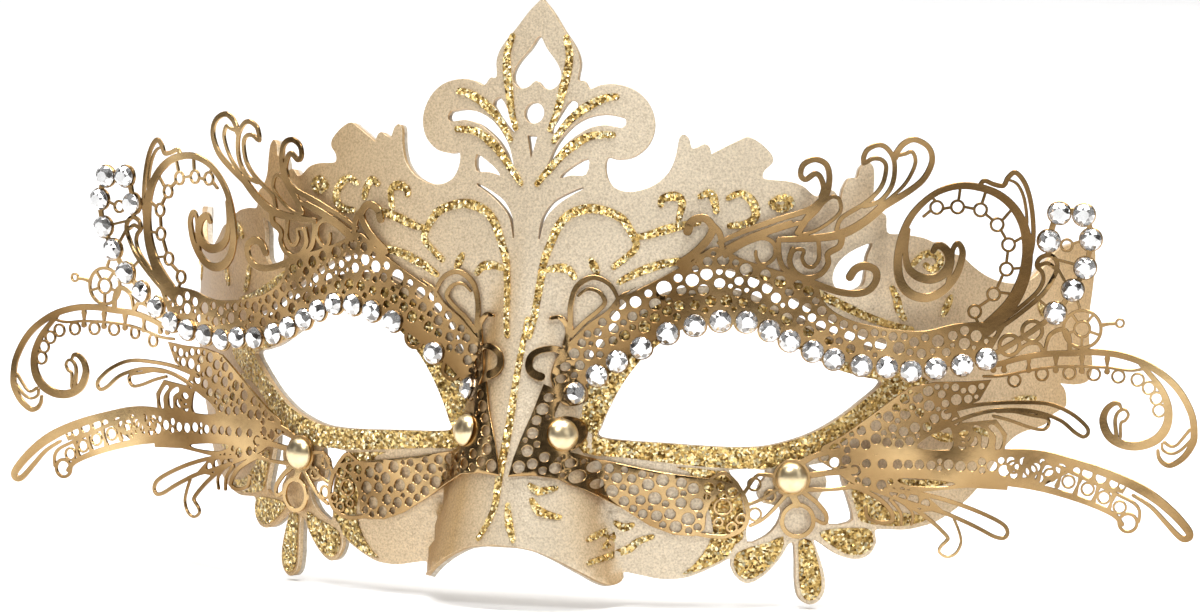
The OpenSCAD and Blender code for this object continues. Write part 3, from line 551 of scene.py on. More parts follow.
def shell_cut():
    cut = Cut()
    half = half_outline()
    cut.body([tuple(p) for p in half] + sided(half[:0:-1], -1))
    holes = [(EYE, 5), (CHEEK_WINDOW, 2), (FLOWER_WINDOW, 2), (HOOK_WINDOW, 4), (LOW_WINDOW, 3),
             (CROWN_SLOT, 3)]
    for side in (1, -1):
        for line, n in holes:
            cut.hole(sided(line, side), n)
        for line, widths in ((BROW_SLOT, (0.9, 3.2, 0.9)), (LONG_SLOT, (0.5, 1.9, 1.9)),
                             (THIN_SLIT, (0.2, 1.0, 0.3))):
            cut.stroke(widths, sided(line, side), cut.holes)
    cut.hole(HEART, 5)
    cut.hole(disc((0, 55.8), 1.85, 28))
    cut.hole([(-0.9, 51.8), (0.9, 51.8), (0, 47.8)])
    return cut


def grid_points(low, high, step, seed=3):
    rng = np.random.default_rng(seed)
    g = np.stack(np.meshgrid(np.arange(low[0], high[0], step), np.arange(low[1], high[1], step)), -1)
    g = g.reshape(-1, 2)
    return g + rng.uniform(-0.2, 0.2, g.shape) * step


def make_shell():
    flat, tris = triangles(shell_cut(), grid_points((-116, -30), (116, 76), 1.4))
    cover = new_object("cover_skin", *slab(flat, tris, shell_point, -COVER_T, 0.0), MATERIALS["leatherette"])
    stiff = new_object("backing_skin",
                       *slab(flat, tris, shell_point, -COVER_T - BACKING_T, -COVER_T - 0.01),
                       MATERIALS["backing"])
    own(cover, "leatherette_cover")
    own(stiff, "backing_shell")


# ---------- glitter ----------

BORDER = [
    (10.4, 2), (11.6, -3.2), (18, -3.9), (24, -4.5), (30, -5.1), (36, -5.5), (43, -5.6), (48, -4.9),
    (54, -2.8), (58, -0.4), (62, 2.6), (67, 5), (73, 8), (73, 9.8), (67.6, 11.2), (61, 14),
    (55, 16.8), (50, 19.2), (45, 21.8), (40, 24.1), (35, 25.2), (30, 25), (25, 23.6), (20.8, 21),
    (17, 17.4), (13.8, 13), (11.6, 7.6)]
PATCHES = [
    [(27.5, -5.4), (29.6, -6.2), (31.2, -8.5), (33, -12), (34, -15.5), (33.9, -17.6), (32.4, -20.7),
     (30.2, -23.2), (28.8, -24.3), (31.6, -23.7), (34.8, -22.2), (37, -20.9), (38, -19),
     (39.4, -17.9), (39.5, -15), (39.2, -11.6), (38, -8.2), (36, -6.2)],
    [(46.6, -17.6), (44, -18.6), (41, -19.4), (38.3, -20.6), (37.9, -22.8), (38.8, -24.5),
     (40.3, -25.1), (42, -24.6), (44.2, -22.9), (46.2, -20.4)],
    [(49.4, -18.4), (51.6, -18.4), (52.7, -21.4), (53.6, -25), (53.5, -27.4), (52.4, -28.7),
     (51.2, -28.9), (50.1, -27.9), (49.6, -25.4), (49.5, -22)],
    [(53.2, -17), (55.4, -16.4), (59, -16.3), (62.6, -16.6), (63.2, -18.8), (62.4, -20.3),
     (60.7, -21.1), (58.4, -20.9), (56.2, -19.8), (54.2, -18.4)],
    [(58.6, -8), (61, -8.4), (64.4, -11.4), (67, -13.4), (71, -14.2), (74.5, -15), (70, -16.2),
     (65, -16), (61, -15.2), (60, -13.4)]]
# Glitter lines on the skin, both sides alike
LINES = [
    [(17, 26.8), (20, 28.5), (25, 30.3), (30, 31)],
    [(40, 28.5), (45, 27), (50, 26), (55, 23.8), (60, 21.5), (65, 19.7), (70, 18.5)],
    [(2, 17), (2.5, 20), (2.7, 23), (3, 26), (3.5, 30), (4.5, 33), (6, 36.5), (8, 38.5), (11, 39.5),
     (14, 39.2), (17, 38), (18.5, 36.2), (19.5, 34.5), (19.8, 33), (18.5, 31.5), (16, 29.5)],
    [(19.8, 34.8), (22, 35.2), (25, 36.2), (28, 37), (30.5, 37.5)],
    [(27, 38), (27.5, 41), (26, 42), (24, 41.5), (23.8, 40.5)],
    [(30.5, 42), (32, 42.6), (33, 41.5), (33.5, 39.5)],
    [(35.5, 41.8), (37.5, 42.6), (39.5, 41.5), (40.5, 39), (39, 37.4), (36, 37)],
    [(43, 41), (45, 42), (46.5, 41), (45, 40), (43.3, 40.6)],
    [(4, 28.5), (6, 29), (8, 28.7), (9, 27.5)],
    [(12, 30.5), (13, 28.5)],
    [(3.2, 53), (4.2, 56), (5, 60), (5.6, 63), (5.8, 66), (5, 69)],
    [(4, 51), (6, 54), (8, 56), (10.5, 57.7), (13, 58.8), (14.7, 59)],
    [(1.5, 43.5), (3.5, 46), (6, 49), (8.5, 51), (11, 52.2), (14.5, 52.4)],
    [(66, 26), (67, 24), (67.5, 22), (68.5, 20.5)],
    [(70, 30), (72, 31.6), (74.6, 31.6), (75.6, 30.2), (74, 29), (72.6, 29.8)],
    [(78, 24), (76.5, 21)],
    [(66, 5), (72, 4), (75, 0), (79, -1), (84, 0), (88, -1)],
    [(66, -8), (72, -9), (78, -8.5)],
    [(93, 5), (98, 5)],
    [(99, 22), (100, 20)]]
# Glitter lines round the nose, drawn once
NOSE_LINES = [
    [(1.5, 20), (0.5, 10), (0, 2), (-1, -7), (-1.5, -13), (-4, -18)],
    [(1, -12), (1.5, -15), (2.5, -18)],
    [(4.5, -8.5), (6, -9.5), (8.5, -9)],
    [(5, -11), (6.5, -13), (9.5, -14)],
    [(17, -15.5), (18.5, -16.3), (20, -15.8)],
    [(14, -18), (15.5, -17), (16.5, -18), (16, -19.5)],
    [(14.5, -22), (17, -21), (19.5, -20), (21, -18.7), (23.5, -17.8)]]


def make_glitter():
    cut = Cut()
    for side in (1, -1):
        cut.body(sided(BORDER, side), 3)
        for patch in PATCHES:
            cut.body(sided(patch, side), 2)
        for line in LINES:
            cut.stroke((1.0, 1.65, 1.1), sided(line, side), cut.bodies, 3)
        cut.hole(sided(EYE, side), 5)
        cut.stroke((0.9, 3.2, 0.9), sided(BROW_SLOT, side), cut.holes)
    for line in NOSE_LINES:
        cut.stroke((0.9, 1.5, 0.9), line, cut.bodies, 3)
    flat, tris = triangles(cut, grid_points((-80, -30), (80, 70), 0.42, 5))
    rng = np.random.default_rng(11)
    rough = lambda p: rng.uniform(-0.16, 0.0, len(p))
    skin = slab(flat, tris, shell_point, -0.02, GLITTER_T, bevel=0.06, wave=rough)
    coat = new_object("glitter_skin", *skin, MATERIALS["gold_glitter"], smooth=False)
    own(coat, "glitter_coat")


# ---------- filigree ----------

BAND_STONES = [
    (9.9, 7.2), (13.5, 10.4), (17, 13), (21.1, 15.5), (25.5, 18.1), (30, 19.6), (34.2, 20.4),
    (38.4, 20.3), (42.4, 18.8), (46, 17), (50.1, 15.2), (53.9, 13.8), (58.8, 12.7), (63.3, 12.4),
    (67.6, 11.7), (72, 12.2), (76.7, 12.8)]
STRAND_STONES = [
    (81, 13.9), (85.1, 16.3), (89.1, 18.8), (93.1, 22), (96.1, 26.1), (98.2, 30.1), (99.1, 35.1),
    (97.8, 39.4), (93.5, 39.6), (91.7, 34.7)]
BAND_TOP = [
    (84.5, 20), (80, 20.4), (75, 20), (70, 18.8), (65, 19), (60, 19.8), (56.5, 20.8), (53.5, 22.4),
    (51.5, 24.6), (50.8, 26.6), (47.5, 28.2), (43.6, 29.4), (40.2, 30.4), (37, 31.6), (33.4, 33.4),
    (30, 31.6), (25, 28.6), (20, 26), (17.2, 24.6), (15, 21.8), (12, 19.6), (10, 17.6), (8, 15.5),
    (6.8, 13), (6.4, 10), (7.6, 7.2)]
NOSE_PIECE = [
    (5.4, 9), (4, 4), (2.6, 0), (1.4, -4), (0.8, -7), (5, -6.7), (9, -7.3), (13, -9.5), (18, -12.7),
    (23, -15.8), (27, -17.3), (30.5, -17.5), (32.2, -16.3), (32.4, -13.5), (33.6, -10.6),
    (37.4, -8.2), (33.4, -7.4), (27, -6.6), (22, -5.8), (17, -4.8), (13, -4), (10, -2.6), (7.6, 0),
    (7.6, 4), (8.6, 7.4)]
FAN = [
    (54, -5.6), (51.4, -4), (52, -1.6), (55.5, 0.2), (60, 3.4), (64, 6.4), (67.5, 8.9), (72, 9.8),
    (78, 9.9), (82, 10.2), (80, 6.6), (76, 4.6), (77, 2.6), (83, 3.2), (85, 0.6), (84.6, -2.2),
    (90, -2.6), (97, -4.0), (102, -5.6), (106.6, -7.8), (105.6, -9.6), (100.6, -8.2), (96, -6.2),
    (91.5, -8.6), (85.4, -7.6), (85.2, -9.3), (78, -8.9), (70, -9.6), (74, -13), (69, -13.2),
    (64.6, -10.8), (59.6, -9), (56.6, -7.6)]
FAN_SLOTS = [
    [(69, -1.8), (71, 0.2), (74.4, 1.8), (75.3, 0.4), (75.3, -1.6), (74, -2.2)],
    [(65.6, -7.6), (68, -7.2), (75.4, -8), (74.4, -8.6), (68.4, -8.6)],
    [(79.4, 2.2), (81.6, 0.9), (81.4, -1.6), (80.4, -1.6), (80.4, 0.4), (78.9, 1.4)],
    [(82.6, 2.2), (84.2, 0.2), (83.8, -1.9), (82.9, -1.9), (83.0, 0.2), (81.6, 1.9)]]
SEE_THROUGH = [(12, 14, 0.9), (14, 16, 0.8), (13.5, 18, 0.7), (16.5, 21, 0.9), (20, 23.5, 1.0),
               (24.8, 26, 1.3), (29.5, 27.5, 1.1), (34, 27, 0.9), (35.7, 28.8, 0.8),
               (39.5, 27.3, 1.0), (43.5, 24.5, 0.9), (49, 22.8, 0.8), (51.5, 19.6, 0.9)]
# Each stroke is its widths from start to end, then its points
BROW_STROKES = [
    ((0.9, 1.0, 0.5), [(8.9, 17.3), (8.6, 20), (8.7, 23), (9.8, 26), (12.5, 27.6), (15.3, 26.6),
                       (16.8, 24.3), (17, 22.3)]),
    ((0.8, 0.8, 0.45), [(8.9, 17.3), (11, 19.6), (13.6, 21.8), (14.7, 23.4), (13.6, 25.1),
                        (11.6, 25.5), (10, 24.3)]),
    ((0.9, 0.9, 0.6), [(8, 15.6), (8.2, 18.4), (7, 20.3), (5.5, 20.3)]),
    ((1.0, 1.2, 1.5), [(7.6, 14.4), (6.5, 15), (4.5, 14.8), (3, 13.8), (2.7, 12), (3.5, 10.8),
                       (4.8, 10.2)]),
    ((1.5, 1.3, 1.5), [(27.5, 30.4), (30, 32.4), (32, 34.8), (32.7, 36.8), (31.3, 38.4),
                       (29.3, 37.8), (28.6, 36)]),
    ((0.7, 1.1, 0.9), [(31.5, 38.3), (33, 37), (34, 35.4), (34.3, 33)]),
    ((0.8, 1.0, 1.0), [(33.8, 34.1), (37, 35.8), (40, 37), (44, 38.4), (48, 39.6), (50, 40.6)]),
    ((0.8, 0.8, 0.8), [(33.6, 31.9), (37, 33.9), (40, 35.2), (44, 36.6), (48.5, 38)]),
    ((0.5, 0.7, 0.5), [(35, 33.4), (38, 35), (42, 36.6), (46, 37.9)])]
LEAF_SLIT = [(18.6, 24.9), (22, 26.9), (26, 29.2), (29.6, 31.2)]
SCROLLS = [
    ((1.2, 1.0, 1.0), [(47.2, 36), (50, 40.4), (52, 42.5), (52.6, 45.4), (52, 47.9), (50, 48.8),
                       (48, 47.9), (47.5, 46.1), (48.4, 45.3), (50, 46.3), (51, 45.7),
                       (51.6, 43.8), (51.2, 42.2)]),
    ((0.6, 0.7, 0.7), [(47.2, 35.7), (48.8, 35.8), (51.2, 36.8), (53.7, 38.6), (54.7, 40),
                       (54.4, 41.8), (53.2, 42.3), (51.7, 41.3), (50.5, 39.8), (48.7, 38),
                       (47.2, 36.2)]),
    ((1.0, 1.6, 1.5), [(44, 34.7), (50.2, 35), (55, 35.8), (59, 38), (62.4, 40.9)]),
    ((1.2, 1.0, 1.1), [(61.6, 40.2), (66.5, 43.2), (69.2, 45.4), (70.6, 48), (70.6, 50),
                       (69.6, 51.5), (67.5, 52.4), (65.7, 51.7), (64.5, 50.2), (64.2, 49.2)]),
    ((0.6, 0.7, 0.7), [(62, 40.9), (65.4, 43.9), (67, 46.2), (67.8, 48.5), (67.2, 50.2),
                       (66, 49.9), (64.4, 49.5)]),
    ((0.8, 0.8, 0.8), [(54, 36.4), (54.9, 38.6), (58.7, 41), (61, 43), (62.2, 45), (62.6, 47.6),
                       (61.8, 48.8), (60.3, 49), (59, 48.3)]),
    ((0.8, 0.9, 0.9), [(58.8, 40.6), (61.5, 41.5), (63.4, 43.7), (64.1, 46.2), (63.9, 49),
                       (62.6, 50.9), (61.1, 51.4), (59.3, 50.6), (58.6, 49.2), (58.6, 48.2)]),
    ((0.8, 0.8, 0.6), [(34.8, 31.8), (38, 34), (41, 35), (43, 34), (43.2, 32), (42, 30.6),
                       (40.6, 30.4), (39.9, 31.6), (39.8, 32.6)]),
    ((1.0, 1.0, 1.2), [(46.3, 33), (45.8, 31), (46.8, 29), (49, 28), (51.3, 28.7), (52.6, 30.5),
                       (52.6, 32.3), (54.6, 33.6), (55, 35.6)]),
    ((0.8, 0.7, 0.6), [(50.8, 34.8), (51, 31.6), (50, 30), (48.7, 30.2), (48, 31.5), (48.3, 32.8),
                       (47, 33), (46, 32.2)]),
    ((0.9, 1.0, 1.0), [(43.8, 34.8), (44, 31.5), (45, 29.5), (47, 28.2)]),
    ((1.2, 1.3, 1.5), [(49.8, 27.2), (54.2, 25.7), (57.7, 25.3), (60, 26), (61.2, 27.7),
                       (61, 29.4), (59.2, 30.2), (57.5, 29.6), (56.5, 28.2)])]
CURL = [
    ((2.7, 1.6, 1.1, 1.7, 1.2, 0.6), [
        (81, 19.2), (85, 23.3), (87.2, 27.5), (88, 32), (87.5, 36.5), (85.8, 40), (83, 42.6),
        (79.5, 44), (75.5, 44.3), (71.5, 43), (68, 40), (66, 36.5), (65, 32), (65.3, 28),
        (67, 25.5), (70, 24.6), (73, 25.8), (75.3, 28.5), (76.3, 31.3), (76.4, 33), (75.6, 34.2),
        (74.7, 33), (74.5, 30), (73.8, 27.3)]),
    ((0.7, 1.6, 1.7, 1.0), [(66.8, 36.6), (66.3, 33), (66.8, 30), (68.5, 28.4), (71, 27.9),
                            (73.3, 29), (74.2, 31), (73.5, 33), (72, 33.8), (71.2, 32.8)]),
    ((0.8, 0.9, 0.8), [(87.8, 29), (88.9, 34), (88.9, 38), (88.3, 42), (87.2, 45), (85.6, 46.7),
                       (84.3, 45.8), (83.5, 44.4), (81.8, 44.6), (80, 45.2), (79, 43.8)]),
    ((0.5, 0.6, 0.5), [(84.5, 45.4), (86, 44.6), (87.2, 42.2), (87.8, 38.4), (87.6, 36)]),
    ((0.8, 0.8, 0.7), [(83, 19.1), (87, 22), (91, 25.5), (93, 29), (93.2, 31), (92, 32.2),
                       (90.3, 31.7), (89.7, 30.3), (90.7, 29.1), (90.8, 27.4), (89.5, 25.3),
                       (86, 22.3), (83, 20.1)]),
    ((0.7, 0.7, 0.7), [(90, 30.3), (91.5, 30.8), (92.8, 30)])]
CURL_RINGS = [(71.7, 40.5), (75.4, 40.6), (79.5, 40.1), (82.5, 37.5), (84.6, 34), (84.3, 29.7),
              (82.1, 25.3), (78.8, 22.2)]
WEBS = [
    [(70.7, 42.4), (71.4, 41.7)], [(69.4, 38.9), (70.6, 39.9)], [(72.9, 40.3), (74.2, 40.5)],
    [(75.6, 42.0), (75.8, 43.6)], [(76.7, 40.6), (78.3, 40.3)], [(79.8, 41.4), (80.4, 43.4)],
    [(80.5, 39.3), (81.6, 38.4)], [(83.5, 38.4), (84.9, 40)], [(83.3, 36.4), (84, 35.2)],
    [(85.8, 34.6), (87.2, 35.4)], [(84.5, 32.7), (84.3, 31)], [(85.5, 29.8), (86.9, 29.9)],
    [(83.6, 28.5), (82.8, 26.6)], [(83.3, 25.6), (84.9, 25.4)], [(81.3, 24.3), (79.7, 23.2)],
    [(79, 21), (79.6, 20)], [(93.1, 34.5), (93.9, 34.3)], [(96, 34.3), (97.4, 34.8)],
    [(92.6, 31.6), (96.6, 30.6)], [(93.4, 29.8), (94.6, 27.8)], [(89.4, 25.0), (91.6, 23.2)],
    [(97.4, 23.0), (96.8, 24.6)], [(94.4, 20.6), (93.4, 21.2)]]
FEATHERS = [
    # upper wing with its fish-hook tip
    ((0.9, 1.2, 1.3, 0.6), [(80, 12.4), (83, 12.9), (87, 14), (91, 14.7), (96, 15), (100, 15.3),
                            (105, 14.8), (110, 13), (114.5, 9.6), (117.3, 5), (117.9, 1),
                            (117.4, -1), (116, -3), (114, -4.3), (112.6, -4), (111.8, -3),
                            (111.6, -1.8)]),
    ((0.6, 0.5, 0.5), [(117.4, 0.2), (115.5, -1.7), (113.9, -2.3), (112.5, -1.7), (112.3, -0.6)]),
    ((0.6, 0.5, 0.6), [(117.1, 2), (115.7, 0.2), (114.8, -0.8), (113.8, -1), (112.7, -0.3)]),
    ((0.8, 1.7, 1.5, 0.5), [(108.3, 13.3), (110.5, 11), (112.3, 8.5), (113.3, 5.5), (113, 2.5),
                            (111.3, 0.2), (108.5, -1), (105.5, -0.9), (103, 0.5), (101.9, 3),
                            (102.3, 5), (103.5, 6.2), (104.5, 6.3), (105, 5.6)]),
    ((0.8, 0.5, 0.6), [(104.3, 0.4), (104, 3.3), (104.5, 4.8), (105.6, 5.3), (106.3, 4.4),
                       (105.8, 3.4), (105, 2.8), (105, 0.4)]),
    ((0.5, 0.5, 0.5), [(80.6, 10.8), (84, 10.9), (88.5, 11.8), (93.5, 12.5), (98, 12.7),
                       (102.5, 12.6), (106.4, 12.2), (109, 12.6)]),
    ((0.5, 0.7, 0.7), [(86.3, 14.8), (88, 16.4), (90.2, 16.6), (91.2, 15)]),
    ((0.6, 0.9, 0.9), [(91.4, 15), (92.2, 18), (94.4, 19.2), (95.6, 17.8), (95.8, 15.2)]),
    # second wing, a closed leaf and its blade
    ((0.7, 0.7, 0.7), [(74, 4.5), (80, 5.8), (86, 6.2), (92, 6), (96, 4.5), (98.8, 2.3), (99.3, 1),
                       (98.5, 0.3), (97, 1), (94.5, 3), (91, 4.3), (87, 4.9), (82, 4.7),
                       (77, 3.3), (72, 1)]),
    ((0.6, 0.6, 0.6), [(83, 4.6), (86, 4.6), (89, 4), (92, 3.4), (92.3, 2.2), (91.3, 1.4),
                       (89, 1.8), (85.5, 3), (82.5, 3.8)]),
    # third wing, long and low
    ((1.2, 1.0, 1.8, 1.2, 0.6), [(58, -3), (65, -2.9), (70, -3), (80, -2.8), (87, -2.5), (92, -3),
                                 (97, -4.3), (102, -5.8), (107, -7.8), (111, -10), (114.5, -12.8),
                                 (117, -15.5), (117.5, -16.8), (116.5, -17.3), (115.3, -16.6),
                                 (113, -14.2), (110.5, -11.7), (107.4, -9.8)]),
    ((1.3, 1.3, 1.2, 0.8), [(60, -6.2), (66, -6.5), (73, -6.9), (80, -7.2), (85.5, -8), (90, -8.7),
                            (95, -9.9), (100, -11.5), (104, -13.3), (105.6, -15)]),
    ((0.6, 0.6, 0.6), [(93.8, -4.8), (97, -6.2), (101, -8), (105, -9.9), (107.6, -11.2),
                       (108.6, -12.6), (108.5, -14.4)]),
    # fourth wing and the small curls under it
    ((0.8, 0.7, 0.8), [(63.4, -9.2), (70, -10), (76, -11.6), (81, -13.5), (84.5, -15.3),
                       (85.4, -16.8), (84.7, -17.8), (83, -17.5), (80.5, -16.2), (78, -15),
                       (74, -13.3), (70, -12.2), (65, -10.6)]),
    ((0.8, 0.5, 0.5), [(68, -12), (72, -15), (74.6, -17.5), (74.5, -18.3), (73.5, -19.3),
                       (73.3, -20.3), (74.6, -21.1), (76.2, -20.5), (77.1, -18.7), (76.8, -16.8),
                       (75.8, -14.4)]),
    ((0.9, 0.8, 0.6), [(57, -8.4), (59.5, -9.3), (63, -11.3), (64.8, -13.6), (64.5, -14.8),
                       (62.5, -15), (60.5, -14.2), (60, -12.4)]),
    ((0.7, 0.6, 0.5), [(64.4, -11), (66.2, -13.2), (66.4, -15.4)]),
    ((0.6, 0.5, 0.5), [(66.8, -11.6), (68.4, -13.4), (68.2, -15.4)])]
# The two long low strokes, which the fan's holes stay clear of
LONG_FEATHERS = FEATHERS[10:12]
WING_RINGS = [(86.1, 10.1), (91, 11.2), (95.8, 11.5), (100.1, 11.4), (104.4, 11.1), (107.8, 10.6),
              (109.8, 9.2), (111.2, 7.4), (111.7, 5.3)]
WING_BARS = [82.3, 84.2, 88.6, 93.4, 98, 102.4]
LOW_RINGS = [(86.3, -5.2), (89.3, -5.8), (92.8, -6.6), (96, -7.7), (99.4, -8.9), (102.3, -10.3),
             (105.1, -12)]
LOW_BARS = [(87.9, -5.4), (91.1, -6), (94.5, -7), (97.7, -8.3), (100.9, -9.7), (103.6, -11.2)]
CHEEK_STROKES = [
    ((0.7, 0.8, 0.6), [(30.6, -17), (33.5, -17.5), (36, -17.4), (38.4, -16), (39.2, -13.5),
                       (38.5, -10.5), (37, -8), (35.2, -6.3), (33, -7.4)]),
    ((0.6, 0.6, 0.8), [(38.4, -10), (40.4, -7), (42, -6.6), (44.4, -7)]),
    ((0.6, 0.6, 0.7), [(38.8, -12), (41.4, -11), (44.4, -9)]),
    ((0.6, 0.6, 0.8), [(39.6, -15.6), (41.6, -14.6), (43.4, -13), (46, -10)]),
    ((1.4, 1.2, 1.4), [(47, -10), (47.8, -11.8)]),
    ((0.9, 0.8, 0.6), [(49, -9.8), (51.2, -11.4), (53, -13.6), (52.8, -15.2), (51, -14.4)]),
    ((1.2, 1.0, 1.4), [(49.4, -6.8), (53, -6.3), (58, -5.8)]),
    ((0.9, 0.6, 0.9), [(49.6, -9.2), (54, -9.2), (58.4, -8.6)]),
    ((1.4, 0.9, 1.2), [(48, -4.8), (51, -3.2), (55, -2.4)])]
CHEEK_RINGS = [((36.6, -9.6), 1.2), ((35.1, -12.3), 1.6), ((38.1, -14.4), 1.0), ((34.4, -15), 0.9),
               ((36.6, -15.9), 1.0), ((33, -10.6), 0.9), ((40.2, -8.3), 1.3), ((40.4, -13.6), 1.3),
               ((43, -10.4), 1.2)]


def filigree_cut():
    cut = Cut()
    pads = [(c, STONE_PAD_R) for c in BAND_STONES + STRAND_STONES]
    band = BAND_STONES + STRAND_STONES[:1] + [tuple(p) for p in spline(BAND_TOP, 3)]
    for region in (band, NOSE_PIECE, FAN):
        cut.body(region)
    slits = [((a, b), r) for a, b, r in SEE_THROUGH]
    studs = [(NOSE_STUD, 3.2), (CHEEK_STUD, 3.4)]
    slit_room = [(tuple(p), 0.6) for p in spline(LEAF_SLIT, 4)]
    for c, r in foam(band, 0.46, 1.1, 0.38, pads + slits + slit_room, 2) + slits:
        cut.hole(disc(c, r, 14))
    for c, r in foam(NOSE_PIECE, 0.34, 1.15, 0.4, studs[:1] + pads[:1], 4):
        cut.hole(disc(c, r, 14))
    slot_room = [(tuple(p), 0.35) for slot in FAN_SLOTS for p in spline(slot, 6, True)]
    rails = [(tuple(p), 0.55) for _, line in LONG_FEATHERS for p in spline(line[:7], 8)]
    for c, r in foam(FAN, 0.32, 1.0, 0.38, studs[1:] + slot_room + rails, 6):
        cut.hole(disc(c, r, 14))
    for slot in FAN_SLOTS:
        cut.hole(slot, 3)
    cut.stroke((0.3, 0.75, 0.3), LEAF_SLIT, cut.holes)
    for c, r in pads:
        cut.ring(c, r, 0.7, 22)
    cut.stroke((1.0,), STRAND_STONES)
    for c, r in studs:
        cut.dot(c, r, 30)
    for group in (BROW_STROKES, SCROLLS, CURL, FEATHERS, CHEEK_STROKES):
        for widths, line in group:
            cut.stroke(widths, line)
    for line in WEBS:
        cut.stroke((0.5,), line, n=1)
    for c in CURL_RINGS:
        cut.ring(c, 1.35, 0.45)
    cut.ring((94.9, 34), 1.25, 0.45)
    wheel(cut, (97.9, 19.3))
    for c in WING_RINGS:
        cut.ring(c, 1.3, 0.42)
    for u in WING_BARS:
        cut.stroke((1.1, 0.5, 1.1), [(u, 14.2 if u > 86 else 13), (u, 12.9), (u, 11.9)], n=3)
    for c in LOW_RINGS:
        cut.ring(c, 1.3, 0.42)
    for c in LOW_BARS:
        cut.stroke((1.0, 0.5, 1.0), [(c[0] - 0.5, c[1] - 1.5), c, (c[0] + 0.5, c[1] + 1.4)], n=3)
    cut.ring((106.6, -14.7), 1.9, 0.6, 24)
    cut.ring((77.3, 0.2), 1.9, 0.8, 22)
    for c, r in CHEEK_RINGS:
        cut.ring(c, r, 0.42)
    cut.ring((48, -14.7), 3.2, 0.8, 30)
    return cut


def wheel(cut, c):
    """The little spoked wheel beside the stone strand, with its stalk."""
    cut.ring(c, 3.6, 0.6, 32)
    cut.ring(c, 1.6, 0.45, 22)
    for k in range(5):
        a = math.radians(54 + 72 * k)
        d = np.array([math.cos(a), math.sin(a)])
        cut.stroke((0.5,), [np.array(c) + 1.4 * d, np.array(c) + 3.3 * d], n=1)
    cut.stroke((0.8, 0.6, 0.6), [(101.2, 20), (102.4, 20.3), (103.8, 20.4)])
    cut.ring((104.5, 20.5), 0.9, 0.4)


def make_filigree():
    flat, tris = triangles(filigree_cut(), grid_points((0, -22), (40, 40), 0.9, 7))
    for side, end in ((1, "left"), (-1, "right")):
        sheet = new_object("sheet_" + end, *slab(flat, tris, sheet_point, -SHEET_T, 0.0, side),
                           MATERIALS["filigree_gold"])
        own(sheet, "filigree_" + end)


# ---------- stones, studs and eyelets ----------

def stone_shape():
    """A faceted rhinestone: an eight-sided table, kites, stars and girdle facets."""
    def row(r, h, n, turn):
        return [(r * math.cos(math.radians(turn + 360 / n * i)),
                 r * math.sin(math.radians(turn + 360 / n * i)), h) for i in range(n)]
    table, middle = row(1.0, 1.42, 8, 22.5), row(1.52, 1.06, 8, 0)
    girdle, rim = row(STONE_R, 0.5, 16, 0), row(STONE_R, 0.3, 16, 0)
    base = row(STONE_R - 0.2, 0.0, 16, 0)
    verts = table + middle + girdle + rim + base
    faces = [tuple(range(8))]
    for i in range(8):
        t, m, g = i, 8 + i, 16 + 2 * i
        faces.append(((i - 1) % 8, m, t))
        faces.append((t, m, g + 1, 8 + (i + 1) % 8))
        faces.append((m, g, g + 1))
        faces.append((m, 16 + (2 * i - 1) % 16, g))
    for i in range(16):
        j = (i + 1) % 16
        faces.append((16 + i, 32 + i, 32 + j, 16 + j))
        faces.append((32 + i, 48 + i, 48 + j, 32 + j))
    faces.append(tuple(48 + i for i in reversed(range(16))))
    return np.array(verts), faces


def make_stones():
    rng = random.Random(21)
    shape, shape_faces = stone_shape()
    rows = [("brow", BAND_STONES, {-1: (1, 3), 1: ()}), ("temple", STRAND_STONES, {-1: (), 1: (1, 2)})]
    for name, places, lost in rows:
        for side, end in ((1, "left"), (-1, "right")):
            verts, faces, facet_glints = [], [], []
            for i, (u, z) in enumerate(places):
                if i in lost[side]:
                    continue
                # Stones beside the fold stand higher, so that their bases clear the bend
                lift = 0.3 if abs(u - FLARE_U) < 2.5 else 0.02
                start = sum(len(v) for v in verts)
                verts.append(placed(shape, sheet_point, u, z, lift, side, rng.uniform(0, 0.8)))
                faces += [tuple(start + k for k in f) for f in facing_out(shape_faces, side)]
                # Painted glints: the table is always bright, and every other facet gets a random brightness.
                facet_glints += [0.9 if len(f) == 8 else rng.random() for f in shape_faces]
            stones = new_object(f"{name}_stones_{end}", np.vstack(verts), faces,
                                MATERIALS["rhinestone"], smooth=False)
            layer = stones.data.attributes.new("facet", "FLOAT", "FACE")
            layer.data.foreach_set("value", facet_glints)
            own(stones, f"{name}_rhinestones_{end}")


def make_studs():
    dome = [(0, 1.9), (0.5, 1.87), (1.0, 1.79), (1.5, 1.64), (2.0, 1.38), (2.4, 1.06), (2.7, 0.66),
            (2.84, 0.3), (2.88, 0.1), (2.8, 0.0), (1.2, 0.0), (0, 0.0)]
    verts, faces = lathe(dome[::-1], 48)
    for name, (u, z) in (("nose", NOSE_STUD), ("cheek", CHEEK_STUD)):
        for side, end in ((1, "left"), (-1, "right")):
            cap = new_object(f"{name}_dome_{end}", placed(verts, sheet_point, u, z, 0.03, side),
                             facing_out(faces, side), MATERIALS["polished_gold"], 60)
            own(cap, f"{name}_stud_cap_{end}")


def make_eyelets():
    """A rolled ring each side of the wall, joined by the barrel."""
    t = COVER_T + BACKING_T
    roll = [(1.1, -t), (1.1, 0.1), (1.25, 0.3), (1.5, 0.36), (1.85, 0.28), (2.08, 0.06), (1.5, 0.01),
            (1.5, -t - 0.01), (2.08, -t - 0.06), (1.85, -t - 0.28), (1.5, -t - 0.36),
            (1.25, -t - 0.3), (1.1, -t)]
    verts, faces = lathe(roll[::-1], 40)
    for side, end in ((1, "left"), (-1, "right")):
        ring = new_object("rolled_eyelet_" + end, placed(verts, shell_point, *EYELET_AT, 0, side),
                          facing_out(faces, side), MATERIALS["eyelet_metal"], 60)
        own(ring, "tie_eyelet_" + end)


